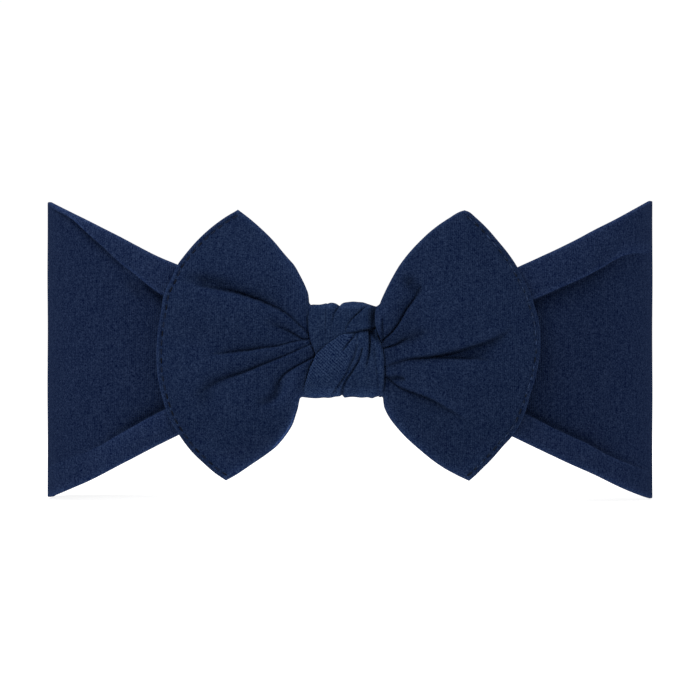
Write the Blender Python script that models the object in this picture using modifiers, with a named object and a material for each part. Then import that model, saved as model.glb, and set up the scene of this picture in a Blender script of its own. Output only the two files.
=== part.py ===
"""Knotted bow headband.

A soft stretch-jersey loop is gathered at the front by a knotted strip. The same
knot holds the gathered waist of a two-layer bow, whose two wings lie in front of
the loop. The loop is one strip of cloth, flared at the sides, gathered again at
the back and closed there by a plain seam with its allowances turned inwards.

Metres, +Z up, bow facing -Y, loop length along X. The origin is on the surface
that the loop stands on, in the middle of its length and depth.
"""

import math

import bmesh
import bpy
import numpy as np

# ---------------------------------------------------------------- driving dimensions, mm
LOOP_HALF_WIDTH = 93.8  # middle of the cloth, along X
LOOP_HALF_DEPTH = 42.0  # middle of the cloth, along Y
LOOP_SQUARENESS = 3.6  # exponent of the loop's plan curve: 2 is an ellipse
LOOP_CENTRE_Y = 6.1
BAND_HALF_HEIGHT = 46.0  # at the two sides, where it stands
BAND_GATHER_HALF_HEIGHT = 6.0  # where the knot gathers it
BAND_SEAM_HALF_HEIGHT = 12.5  # at the back seam
BAND_THICKNESS = 1.6  # jersey folded double
PANEL_SPLIT_X = 78.0  # where the front and back panels meet the sides
PANEL_GAP = 0.4
SEAM_ALLOWANCE = 4.5  # turned inwards at the back seam

KNOT_LEFT, KNOT_RIGHT = -12.5, 10.0
KNOT_CENTRE_Y = -40.3
KNOT_HALF_DEPTH, KNOT_HALF_HEIGHT = 8.4, 13.0  # middle of the knotted strip
KNOT_STRIP_THICKNESS = 2.0

BOW_PLANE_Y = -42.4  # middle of the bow's two layers at the knot
BOW_LAYER_THICKNESS = 1.1
BOW_LAYER_GAP = 0.6
WING_CROWN_FRONT, WING_CROWN_BACK = 4.2, 1.6  # how far each layer puffs out
WING_SWEEP_BACK = 3.2  # the hems lie this far behind the waist
WING_ROOT_GAP = 1.1  # wing root to the knot's side
WING_PIVOT_INSET = 1.9  # wing root to the line that it flexes about
WAIST_HALF_DEPTH, WAIST_HALF_HEIGHT = 3.7, 9.8

THREAD_RADIUS = 0.25
THREAD_CLEARANCE = 0.35

# Outlines of the two wings in the front view, in mm from the knot's centre (x right, z up).
# Each edge runs outwards from the knot to a tip; each hem runs from the lower tip to the upper one.
WING_LEFT = {
    "upper": [(-14.1, 19.8), (-18.3, 27.0), (-26.4, 36.0), (-33.6, 41.7)],
    "lower": [(-15.9, -17.4), (-18.9, -24.6), (-26.4, -31.8), (-37.2, -39.0)],
    "hem": [
        (-37.2, -39.0),
        (-45.9, -31.8),
        (-54.0, -20.4),
        (-57.6, -9.0),
        (-58.0, 1.5),
        (-56.9, 11.8),
        (-51.7, 25.4),
        (-42.6, 36.0),
        (-33.6, 41.7),
    ],
}
WING_RIGHT = {
    "upper": [(12.6, 21.6), (16.2, 27.0), (22.5, 34.2), (34.2, 41.7)],
    "lower": [(11.7, -19.2), (15.6, -24.6), (22.0, -30.6), (35.7, -39.3)],
    "hem": [
        (35.7, -39.3),
        (45.9, -28.2),
        (52.5, -17.8),
        (55.8, -8.0),
        (57.2, 1.0),
        (56.5, 10.4),
        (49.8, 25.2),
        (41.4, 36.0),
        (34.2, 41.7),
    ],
}
WING_ROOT_HALF_HEIGHT = 13.2

NAVY = (0.0110, 0.0215, 0.0560, 1.0)
NAVY_THREAD = (0.0085, 0.0150, 0.0390, 1.0)

MM = 0.001
KNOT_Z = BAND_HALF_HEIGHT  # height of the knot's centre above the surface


# ---------------------------------------------------------------- scene and helpers
for old in list(bpy.data.objects):
    bpy.data.objects.remove(old, do_unlink=True)

parts = bpy.data.collections.new("knotted_headband")
bpy.context.scene.collection.children.link(parts)

root = bpy.data.objects.new("headband_frame", None)
parts.objects.link(root)


def cloth(name, colour, roughness):
    """A matte fabric finish of its own for one piece."""
    material = bpy.data.materials.new(name)
    material.use_nodes = True
    shader = material.node_tree.nodes["Principled BSDF"]
    shader.inputs["Base Color"].default_value = colour
    shader.inputs["Roughness"].default_value = roughness
    shader.inputs["Metallic"].default_value = 0.0
    return material


def pivot_empty(name, at_mm):
    empty = bpy.data.objects.new(name, None)
    empty.location = [c * MM for c in at_mm]
    empty.parent = root
    parts.objects.link(empty)
    return empty


def add(name, data, parent, at_mm=(0, 0, 0), colour=NAVY, roughness=0.9):
    """Puts a piece in the collection, under its parent, with its own finish."""
    obj = bpy.data.objects.new(name, data)
    data.materials.append(cloth(name, colour, roughness))
    obj.parent = parent
    obj.location = [c * MM for c in at_mm]
    parts.objects.link(obj)
    return obj


def sheet(name, surface, columns, rows, thickness, parent, at_mm=(0, 0, 0)):
    """A cloth panel: a grid laid on surface(u, v), u and v from 0 to 1, given its thickness by Solidify.

    surface gives mm in the world; at_mm is the place of the piece's parent, which is its origin.
    """
    mesh = bpy.data.meshes.new(name)
    bm = bmesh.new()
    bmesh.ops.create_grid(bm, x_segments=columns, y_segments=rows, size=0.5)
    for vertex in bm.verts:
        point = surface(vertex.co.x + 0.5, vertex.co.y + 0.5)
        vertex.co = [(p - a) * MM for p, a in zip(point, at_mm)]
    bm.normal_update()
    bm.to_mesh(mesh)
    bm.free()
    mesh.shade_smooth()
    obj = add(name, mesh, parent)
    solid = obj.modifiers.new("cloth_thickness", "SOLIDIFY")
    solid.thickness = thickness * MM
    solid.offset = 0.0
    solid.use_even_offset = True
    return obj


def thread(name, points, parent, at_mm=(0, 0, 0)):
    """A sewn thread: a fine round tube through the points, in mm."""
    curve = bpy.data.curves.new(name, "CURVE")
    curve.dimensions = "3D"
    curve.bevel_depth = THREAD_RADIUS * MM
    curve.bevel_resolution = 1
    curve.use_fill_caps = True
    spline = curve.splines.new("POLY")
    spline.points.add(len(points) - 1)
    for slot, point in zip(spline.points, points):
        slot.co = [(p - a) * MM for p, a in zip(point, at_mm)] + [1.0]
    return add(name, curve, parent, colour=NAVY_THREAD, roughness=0.7)


def through(points, t):
    """The point at t, from 0 to 1 by length, on a smooth line through the points."""
    p = np.array(points, float)
    chord = np.concatenate([[0], np.cumsum(np.linalg.norm(np.diff(p, axis=0), axis=1))])
    at = min(max(t, 0.0), 1.0) * chord[-1]
    i = min(int(np.searchsorted(chord, at, side="right")) - 1, len(p) - 2)
    slope = np.gradient(p, chord, axis=0)
    span = chord[i + 1] - chord[i]
    f = (at - chord[i]) / span
    return (
        (1 + 2 * f) * (1 - f) ** 2 * p[i]
        + f * (1 - f) ** 2 * span * slope[i]
        + f * f * (3 - 2 * f) * p[i + 1]
        + f * f * (f - 1) * span * slope[i + 1]
    )


def ease(t):
    t = min(max(t, 0.0), 1.0)
    return t * t * (3 - 2 * t)


# ---------------------------------------------------------------- the loop's plan curve
angles = np.linspace(-math.pi / 2, 1.5 * math.pi, 2881)
radius = (
    np.abs(np.cos(angles) / LOOP_HALF_WIDTH) ** LOOP_SQUARENESS
    + np.abs(np.sin(angles) / LOOP_HALF_DEPTH) ** LOOP_SQUARENESS
) ** (-1 / LOOP_SQUARENESS)
plan_x, plan_y = radius * np.cos(angles), radius * np.sin(angles)
plan_length = np.concatenate(
    [[0], np.cumsum(np.hypot(np.diff(plan_x), np.diff(plan_y)))]
)
LOOP_LENGTH = float(plan_length[-1])


def plan(s):
    """(x, y) on the loop, s mm along it from the front's middle towards +X; negative s runs towards -X."""
    side = 1 if s >= 0 else -1
    s = abs(s)
    x = float(np.interp(s, plan_length, plan_x))
    y = float(np.interp(s, plan_length, plan_y))
    return side * x, LOOP_CENTRE_Y + y


half_way = len(angles) // 2
S_FRONT = float(
    np.interp(PANEL_SPLIT_X, plan_x[: len(angles) // 4], plan_length[: len(angles) // 4])
)
S_MIDDLE_BACK = float(plan_length[half_way])
S_BACK = 2 * float(plan_length[len(angles) // 4]) - S_FRONT


def half_height(x, y):
    """Half the band's height: gathered at the knot, full at the sides, gathered again at the back seam."""
    x = abs(x)
    if y < LOOP_CENTRE_Y:
        start, bend, end = KNOT_RIGHT + 3.5, 78.0, 90.0
        slope = (BAND_HALF_HEIGHT - BAND_GATHER_HALF_HEIGHT) / (
            bend - start + (end - bend) / 2
        )
        if x <= start:
            return BAND_GATHER_HALF_HEIGHT
        if x <= bend:
            return BAND_GATHER_HALF_HEIGHT + slope * (x - start)
        over = min(x, end) - bend
        return (
            BAND_GATHER_HALF_HEIGHT
            + slope * (bend - start)
            + slope * (over - over * over / (2 * (end - bend)))
        )
    share = min(1.0, x / 89.0)
    return BAND_SEAM_HALF_HEIGHT + (BAND_HALF_HEIGHT - BAND_SEAM_HALF_HEIGHT) * share**1.7


def band_point(s, v):
    """A point of the band's middle surface, v from 0 at its lower edge to 1 at its upper edge."""
    x, y = plan(s)
    h = half_height(x, y)
    z = KNOT_Z + (2 * v - 1) * h
    if y < LOOP_CENTRE_Y:  # two soft pleats run into the knot
        y += 0.8 * math.exp(-((x / 20.0) ** 2)) * math.sin(3 * math.pi * v)
    return x, y, z


# ---------------------------------------------------------------- the loop
sheet(
    "band_front",
    lambda u, v: band_point((2 * u - 1) * (S_FRONT - PANEL_GAP / 2), v),
    34,
    8,
    BAND_THICKNESS,
    root,
)
for side, sign in (("left", -1), ("right", 1)):
    sheet(
        f"band_side_{side}",
        lambda u, v, k=sign: band_point(
            k * (S_FRONT + PANEL_GAP / 2 + u * (S_BACK - S_FRONT - PANEL_GAP)), v
        ),
        18,
        4,
        BAND_THICKNESS,
        root,
    )

loop_back = pivot_empty("loop_back_slide", (0, LOOP_CENTRE_Y + LOOP_HALF_DEPTH, KNOT_Z))
loop_back_at = (0, LOOP_CENTRE_Y + LOOP_HALF_DEPTH, KNOT_Z)
SEAM_X = BAND_THICKNESS / 2 + PANEL_GAP / 2  # middle of each turned-in allowance
SEAM_TURN = 1.6  # radius of that turn


def back_point(sign, u, v):
    """The back panel from the side to the seam, then its allowance turned inwards."""
    straight = S_MIDDLE_BACK - SEAM_X - SEAM_TURN - (S_BACK + PANEL_GAP / 2)
    turn = SEAM_TURN * math.pi / 2
    along = u * (straight + turn + SEAM_ALLOWANCE - SEAM_TURN)
    if along <= straight:
        return band_point(sign * (S_BACK + PANEL_GAP / 2 + along), v)
    back_y = LOOP_CENTRE_Y + LOOP_HALF_DEPTH
    z = KNOT_Z + (2 * v - 1) * BAND_SEAM_HALF_HEIGHT
    if along <= straight + turn:
        angle = (along - straight) / SEAM_TURN
        x = SEAM_X + SEAM_TURN - SEAM_TURN * math.sin(angle)
        return sign * x, back_y - SEAM_TURN + SEAM_TURN * math.cos(angle), z
    return sign * SEAM_X, back_y - SEAM_TURN - (along - straight - turn), z


for side, sign in (("left", -1), ("right", 1)):
    sheet(
        f"band_back_{side}",
        lambda u, v, k=sign: back_point(k, u, v),
        30,
        4,
        BAND_THICKNESS,
        loop_back,
        loop_back_at,
    )

# The seam's thread crosses the join from side to side on the outside, just clear of the cloth.
seam_y = LOOP_CENTRE_Y + LOOP_HALF_DEPTH + BAND_THICKNESS / 2 + THREAD_CLEARANCE
thread(
    "back_seam_thread",
    [
        (
            3.0 * (1 if i % 2 else -1),
            seam_y + THREAD_RADIUS,
            KNOT_Z + (BAND_SEAM_HALF_HEIGHT - 1.0) * (i / 6 - 1),
        )
        for i in range(13)
    ],
    loop_back,
    loop_back_at,
)


# ---------------------------------------------------------------- the knot
def knot_point(x, angle, grow=0.0):
    """A point round the knot: angle 0 faces the front, 90 degrees is its top, 180 its rear."""
    return (
        x,
        KNOT_CENTRE_Y - (KNOT_HALF_DEPTH + grow) * math.cos(angle),
        KNOT_Z + (KNOT_HALF_HEIGHT + grow) * math.sin(angle),
    )


def crossing(x):
    """The angle of the slanting line where the two front strands cross."""
    share = (x - KNOT_LEFT) / (KNOT_RIGHT - KNOT_LEFT)
    return math.asin((-1.0 + 8.0 * share) / KNOT_HALF_HEIGHT)


STRAND_GAP = math.radians(2.6)
TOP_END, BOTTOM_END = math.radians(138), math.radians(-138)


def knot_x(u):
    return KNOT_LEFT + u * (KNOT_RIGHT - KNOT_LEFT)


sheet(
    "knot_upper_strand",
    lambda u, v: knot_point(
        knot_x(u),
        crossing(knot_x(u))
        + STRAND_GAP / 2
        + v * (TOP_END - crossing(knot_x(u)) - STRAND_GAP / 2),
    ),
    10,
    12,
    KNOT_STRIP_THICKNESS,
    root,
)
sheet(
    "knot_lower_strand",
    lambda u, v: knot_point(
        knot_x(u),
        BOTTOM_END + v * (crossing(knot_x(u)) - STRAND_GAP / 2 - BOTTOM_END),
    ),
    10,
    12,
    KNOT_STRIP_THICKNESS,
    root,
)
sheet(
    "knot_rear_strand",
    lambda u, v: knot_point(
        knot_x(u),
        TOP_END
        + STRAND_GAP
        + v * (2 * math.pi + BOTTOM_END - TOP_END - 2 * STRAND_GAP),
    ),
    6,
    8,
    KNOT_STRIP_THICKNESS,
    root,
)

# A short tacking thread holds the strip's end at the rear of the knot.
tack_y = (
    KNOT_CENTRE_Y
    + KNOT_HALF_DEPTH
    + KNOT_STRIP_THICKNESS / 2
    + THREAD_CLEARANCE
    + THREAD_RADIUS
)
thread(
    "knot_tack_thread",
    [(-6.0 + 1.4 * i, tack_y, KNOT_Z + (2.4 if i % 2 else -2.4)) for i in range(8)],
    root,
)


# ---------------------------------------------------------------- the bow's gathered waist
mesh = bpy.data.meshes.new("bow_waist")
bm = bmesh.new()
bmesh.ops.create_cone(
    bm, cap_ends=True, segments=36, radius1=1.0, radius2=1.0, depth=1.0
)
waist_left, waist_right = KNOT_LEFT + 2.5, KNOT_RIGHT - 2.5
for vertex in bm.verts:
    a = math.atan2(vertex.co.y, vertex.co.x)
    pleat = 1.0 - 0.05 * math.cos(9 * a)  # the cloth's folds, gathered tight
    along = waist_left + (vertex.co.z + 0.5) * (waist_right - waist_left)
    vertex.co = (
        along * MM,
        (BOW_PLANE_Y + WAIST_HALF_DEPTH * pleat * math.cos(a)) * MM,
        (KNOT_Z + WAIST_HALF_HEIGHT * pleat * math.sin(a)) * MM,
    )
bm.normal_update()
bm.to_mesh(mesh)
bm.free()
mesh.shade_smooth()
mesh.set_sharp_from_angle(angle=math.radians(50))
add("bow_waist", mesh, root)

# The gathering thread is wound three times round the waist, under the knot.
turns, per_turn = 3, 20
grow = 0.05 * WAIST_HALF_HEIGHT + THREAD_RADIUS + 0.1
thread(
    "waist_gathering_thread",
    [
        (
            -3.6 + 2.4 * i / per_turn,
            BOW_PLANE_Y
            + (WAIST_HALF_DEPTH + grow) * math.cos(2 * math.pi * i / per_turn),
            KNOT_Z + (WAIST_HALF_HEIGHT + grow) * math.sin(2 * math.pi * i / per_turn),
        )
        for i in range(turns * per_turn + 1)
    ],
    root,
)


# ---------------------------------------------------------------- the bow's wings
def wing(side, sign, outline, knot_side):
    """Two cloth layers and the hem's stitching, which flex together about a line beside the knot."""
    root_x = knot_side + sign * WING_ROOT_GAP
    pivot_at = (root_x + sign * WING_PIVOT_INSET, BOW_PLANE_Y, KNOT_Z)
    pivot = pivot_empty(f"wing_{side}_pivot", pivot_at)
    upper = [(root_x, WING_ROOT_HALF_HEIGHT)] + outline["upper"]
    lower = [(root_x, -WING_ROOT_HALF_HEIGHT)] + outline["lower"]
    hem = outline["hem"]
    corners = [np.array(p, float) for p in (lower[0], lower[-1], upper[0], upper[-1])]

    def outline_point(u, v):
        """Blends the four edges: u runs from the knot to the hem, v from the lower edge to the upper one."""
        low, up, out = through(lower, u), through(upper, u), through(hem, v)
        inner = (1 - v) * corners[0] + v * corners[2]
        ruled = (
            (1 - u) * (1 - v) * corners[0]
            + u * (1 - v) * corners[1]
            + (1 - u) * v * corners[2]
            + u * v * corners[3]
        )
        return (1 - v) * low + v * up + (1 - u) * inner + u * out - ruled

    def layer(u, v, facing, crown):
        x, z = outline_point(u, v)
        puff = math.sin(math.pi * ease(u) ** 0.8) * (1 - (2 * v - 1) ** 2) ** 0.6
        lift = BOW_LAYER_GAP / 2 + BOW_LAYER_THICKNESS / 2 + crown * puff
        y = BOW_PLANE_Y + WING_SWEEP_BACK * u * u + facing * lift
        return x, y, KNOT_Z + z

    for name, facing, crown in (
        ("front", -1, WING_CROWN_FRONT),
        ("back", 1, WING_CROWN_BACK),
    ):
        sheet(
            f"bow_{side}_{name}_layer",
            lambda u, v, f=facing, c=crown: layer(u, v, f, c),
            10,
            14,
            BOW_LAYER_THICKNESS,
            pivot,
            pivot_at,
        )
    lift = BOW_LAYER_THICKNESS / 2 + THREAD_RADIUS + THREAD_CLEARANCE
    line = []
    for i in range(29):
        x, y, z = layer(0.955, 0.03 + 0.94 * i / 28, -1, WING_CROWN_FRONT)
        line.append((x, y - lift, z))
    thread(f"bow_{side}_hem_thread", line, pivot, pivot_at)


wing("left", -1, WING_LEFT, KNOT_LEFT)
wing("right", 1, WING_RIGHT, KNOT_RIGHT)

bpy.context.view_layer.update()
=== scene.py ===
"""Looks of the knotted bow headband: cloth, folds, stitches, light and camera.

All lengths below are in mm unless they say metres; FRONT VIEW points are (x, y) in a
700 x 700 frame, x right and y down, and are put in space by the depth that each piece has.
"""

import math

import bpy
import numpy as np
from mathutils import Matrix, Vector


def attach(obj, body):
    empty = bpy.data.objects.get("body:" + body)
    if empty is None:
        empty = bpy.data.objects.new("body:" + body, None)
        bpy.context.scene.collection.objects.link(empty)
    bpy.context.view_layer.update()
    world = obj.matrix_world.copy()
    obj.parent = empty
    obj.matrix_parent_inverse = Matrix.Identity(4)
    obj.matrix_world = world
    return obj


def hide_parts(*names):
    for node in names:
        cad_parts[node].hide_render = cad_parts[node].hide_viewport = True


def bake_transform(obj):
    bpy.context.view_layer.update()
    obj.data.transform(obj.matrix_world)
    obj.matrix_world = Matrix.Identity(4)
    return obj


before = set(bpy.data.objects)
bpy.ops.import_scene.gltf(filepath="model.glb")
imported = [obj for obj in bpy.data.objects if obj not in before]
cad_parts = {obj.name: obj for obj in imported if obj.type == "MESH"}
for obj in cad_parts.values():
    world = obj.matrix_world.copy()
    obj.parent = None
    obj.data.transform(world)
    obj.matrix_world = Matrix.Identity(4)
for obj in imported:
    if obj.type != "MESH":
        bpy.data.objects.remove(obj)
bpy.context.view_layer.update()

MM = 0.001
ZC = 46.0  # height of the knot's centre

# ------------------------------------------------------------------ camera
LENS, SENSOR, SIDE = 200.0, 36.0, 700
FOCAL = SIDE * LENS / SENSOR  # in pixels
REF_Y = -45.0  # the depth where a pixel is 0.3 mm
CAM_Y = REF_Y - 0.3 * FOCAL

camera_data = bpy.data.cameras.new("camera")
camera_data.lens = LENS
camera_data.sensor_width = SENSOR
camera_data.sensor_fit = "HORIZONTAL"
camera_data.clip_start = 0.05
camera_data.clip_end = 60.0
camera_data.dof.use_dof = False
camera = bpy.data.objects.new("camera", camera_data)
camera.location = (0.0, CAM_Y * MM, ZC * MM)
camera.rotation_euler = (math.pi / 2, 0.0, 0.0)
bpy.context.scene.collection.objects.link(camera)
bpy.context.scene.camera = camera


def at_depth(px, py, y):
    """(x, z) of a front-view point that lies at depth y."""
    reach = (y - CAM_Y) / FOCAL
    return (px - 350.0) * reach, ZC + (350.0 - py) * reach


# ------------------------------------------------------------------ lines and folds
def line(points, shares):
    """Points on a smooth line through the given ones, at shares (0 to 1) of its length."""
    p = np.asarray(points, float)
    chord = np.r_[0, np.cumsum(np.linalg.norm(np.diff(p, axis=0), axis=1))]
    slope = np.gradient(p, chord, axis=0)
    where = np.clip(np.asarray(shares, float), 0, 1) * chord[-1]
    i = np.clip(np.searchsorted(chord, where, side="right") - 1, 0, len(p) - 2)
    span = (chord[i + 1] - chord[i])[:, None]
    f = (where - chord[i])[:, None] / span
    return (
        (1 + 2 * f) * (1 - f) ** 2 * p[i]
        + f * (1 - f) ** 2 * span * slope[i]
        + f * f * (3 - 2 * f) * p[i + 1]
        + f * f * (f - 1) * span * slope[i + 1]
    )


def to_line(points, polyline):
    """Signed distance of each point from a polyline, positive below one that runs to the right (y down), and its share along it."""
    shape = points.shape[:-1]
    p = points.reshape(-1, 2)
    a, b = polyline[:-1], polyline[1:]
    length = np.linalg.norm(b - a, axis=1)
    start = np.r_[0, np.cumsum(length)]
    best = np.full(len(p), 1e9)
    side = np.ones(len(p))
    share = np.zeros(len(p))
    for k in range(len(a)):
        d = (b[k] - a[k]) / max(length[k], 1e-9)
        r = p - a[k]
        t = np.clip(r @ d, 0, length[k])
        gap = np.linalg.norm(r - t[:, None] * d, axis=1)
        nearer = gap < best
        best = np.where(nearer, gap, best)
        side = np.where(nearer, np.sign(d[0] * r[:, 1] - d[1] * r[:, 0]), side)
        share = np.where(nearer, (start[k] + t) / start[-1], share)
    return (best * np.where(side == 0, 1, side)).reshape(shape), share.reshape(shape)


def along(values, share):
    """Values spread evenly along a line, read at each share."""
    return np.interp(share, np.linspace(0, 1, len(values)), values)


def fold(points, path, above, below, reach_above, reach_below, slit, unit=0.3, lip=0.4, width=0.28):
    """Height of one fold: how far the cloth stands out just above and just below a line, dying away from it.

    above and below are heights in mm spread along the line; a plus is a rolled lip and a minus a valley.
    The two sides meet in a narrow gap, whose depth in mm is slit; width is half the gap's width, one or a list.
    """
    d, share = to_line(points, line(path, np.linspace(0, 1, 48)))
    d = d * unit
    over, under = along(above, share), along(below, share)
    up = over * np.exp(-np.abs(d) / reach_above)
    down = under * np.exp(-np.abs(d) / reach_below)
    height = np.where(d < 0, up, down)
    rolled = 1 - 0.55 * np.exp(-np.abs(d) / lip)
    height = np.where(height > 0, height * rolled, height)
    wide = along(width, share) if isinstance(width, list) else width
    return height - along(slit, share) * np.exp(-((d / wide) ** 2))


def swell(points, path, height, reach, unit=0.3):
    """A soft ridge (or, with a minus, a furrow) along a line."""
    d, share = to_line(points, line(path, np.linspace(0, 1, 32)))
    return along(height, share) * np.exp(-((d * unit / reach) ** 2))


def shade(points, path, above, below, reach_above, reach_below, unit=0.3):
    """Lightness added just above and just below a line, dying away from it."""
    d, share = to_line(points, line(path, np.linspace(0, 1, 48)))
    d = d * unit
    up = along(above, share) * np.exp(-np.abs(d) / reach_above)
    down = along(below, share) * np.exp(-np.abs(d) / reach_below)
    return up + (down - up) * ease(0.5 + d / 0.3)


def ease(t):
    t = np.clip(t, 0, 1)
    return t * t * (3 - 2 * t)


def soften(a, times=1):
    """Evens a grid of heights with its neighbours."""
    for _ in range(times):
        b = np.pad(a, 1, mode="edge")
        a = (
            4 * b[1:-1, 1:-1]
            + 2 * (b[:-2, 1:-1] + b[2:, 1:-1] + b[1:-1, :-2] + b[1:-1, 2:])
            + b[:-2, :-2]
            + b[2:, 2:]
            + b[:-2, 2:]
            + b[2:, :-2]
        ) / 16
    return a


def hollow(heights, depth, times=36):
    """How deep each place lies below its surroundings, 0 to 1: used to paint shade into the hollows."""
    return np.clip((soften(heights, times) - heights) / depth, 0, 1)


def ripple(a, b, seed, scale):
    """Slight unevenness of hand-made cloth: a few long waves at set angles."""
    rng = np.random.default_rng(seed)
    out = np.zeros_like(a)
    for _ in range(7):
        angle, phase = rng.uniform(0, 2 * math.pi, 2)
        pitch = scale * rng.uniform(0.7, 1.8)
        out += np.sin(
            (a * math.cos(angle) + b * math.sin(angle)) * 2 * math.pi / pitch + phase
        )
    return out / 7


# ------------------------------------------------------------------ meshes
def grid_mesh(name, points, knit, tone, flip=False, round_v=False, caps=False, taut=None):
    """A mesh on a grid of points (mm), with the cloth's own coordinates (mm) and its tone kept for the knit: a
    lightness, mostly painted light and shade, that scales its colour.
    """
    nu, nv = points.shape[:2]
    index = np.arange(nu * nv).reshape(nu, nv)
    if round_v:
        index = np.concatenate([index, index[:, :1]], axis=1)
    quads = np.stack(
        [index[:-1, :-1], index[1:, :-1], index[1:, 1:], index[:-1, 1:]], -1
    ).reshape(-1, 4)
    faces = quads[:, ::-1].tolist() if flip else quads.tolist()
    if caps:
        first, last = index[0, :nv].tolist(), index[-1, :nv].tolist()
        faces += [first[::-1], last] if flip else [first, last[::-1]]
    mesh = bpy.data.meshes.new(name)
    mesh.from_pydata((points.reshape(-1, 3) * MM).tolist(), [], faces)
    uv = mesh.uv_layers.new(name="knit")
    corner = np.zeros(len(mesh.loops), np.int32)
    mesh.loops.foreach_get("vertex_index", corner)
    uv.data.foreach_set(
        "uv", (knit.reshape(-1, 2)[corner] * 0.1).astype(np.float32).ravel()
    )
    lightness = mesh.attributes.new("tone", "FLOAT", "POINT")
    lightness.data.foreach_set(
        "value", np.broadcast_to(tone, (nu, nv)).astype(np.float32).ravel()
    )
    if taut is not None:  # where the knit is pulled, so that its ribs show
        pulled = mesh.attributes.new("taut", "FLOAT", "POINT")
        pulled.data.foreach_set(
            "value", np.broadcast_to(taut, (nu, nv)).astype(np.float32).ravel()
        )
    mesh.shade_smooth()
    obj = bpy.data.objects.new(name, mesh)
    bpy.context.scene.collection.objects.link(obj)
    return obj


def thicken(obj, thickness):
    """Gives an open cloth its thickness, inwards from the side that shows."""
    solid = obj.modifiers.new("thickness", "SOLIDIFY")
    solid.thickness = thickness * MM
    solid.offset = -1.0
    solid.use_even_offset = False


def stitches(name, runs, radius):
    """Separate sewn stitches: each run is a short path (mm) that dives into the cloth at both ends."""
    sides = 8
    verts, faces, knit = [], [], []
    for run in runs:
        run = np.asarray(run, float)
        n = len(run)
        tangent = np.gradient(run, axis=0)
        tangent /= np.linalg.norm(tangent, axis=1)[:, None]
        across = np.cross(tangent, np.array([0.0, 1.0, 0.0]))
        across /= np.linalg.norm(across, axis=1)[:, None]
        out = np.cross(across, tangent)
        base = len(verts)
        size = radius * np.sqrt(
            np.clip(1 - np.linspace(-0.97, 0.97, n) ** 6, 0.02, 1)
        )
        for i in range(n):
            for k in range(sides):
                a = 2 * math.pi * k / sides
                # the two plies of the thread show as a slow twist
                r = size[i] * (1 + 0.10 * math.cos(2 * a + 5.5 * i / n * math.pi))
                verts.append(
                    run[i] + r * (math.cos(a) * across[i] + math.sin(a) * out[i])
                )
                knit.append((k / sides, i / n))
        for i in range(n - 1):
            for k in range(sides):
                m = (k + 1) % sides
                faces.append(
                    [
                        base + i * sides + k,
                        base + i * sides + m,
                        base + (i + 1) * sides + m,
                        base + (i + 1) * sides + k,
                    ]
                )
        faces.append([base + k for k in range(sides)][::-1])
        faces.append([base + (n - 1) * sides + k for k in range(sides)])
    mesh = bpy.data.meshes.new(name)
    mesh.from_pydata((np.array(verts) * MM).tolist(), [], faces)
    mesh.shade_smooth()
    obj = bpy.data.objects.new(name, mesh)
    bpy.context.scene.collection.objects.link(obj)
    return obj


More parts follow.
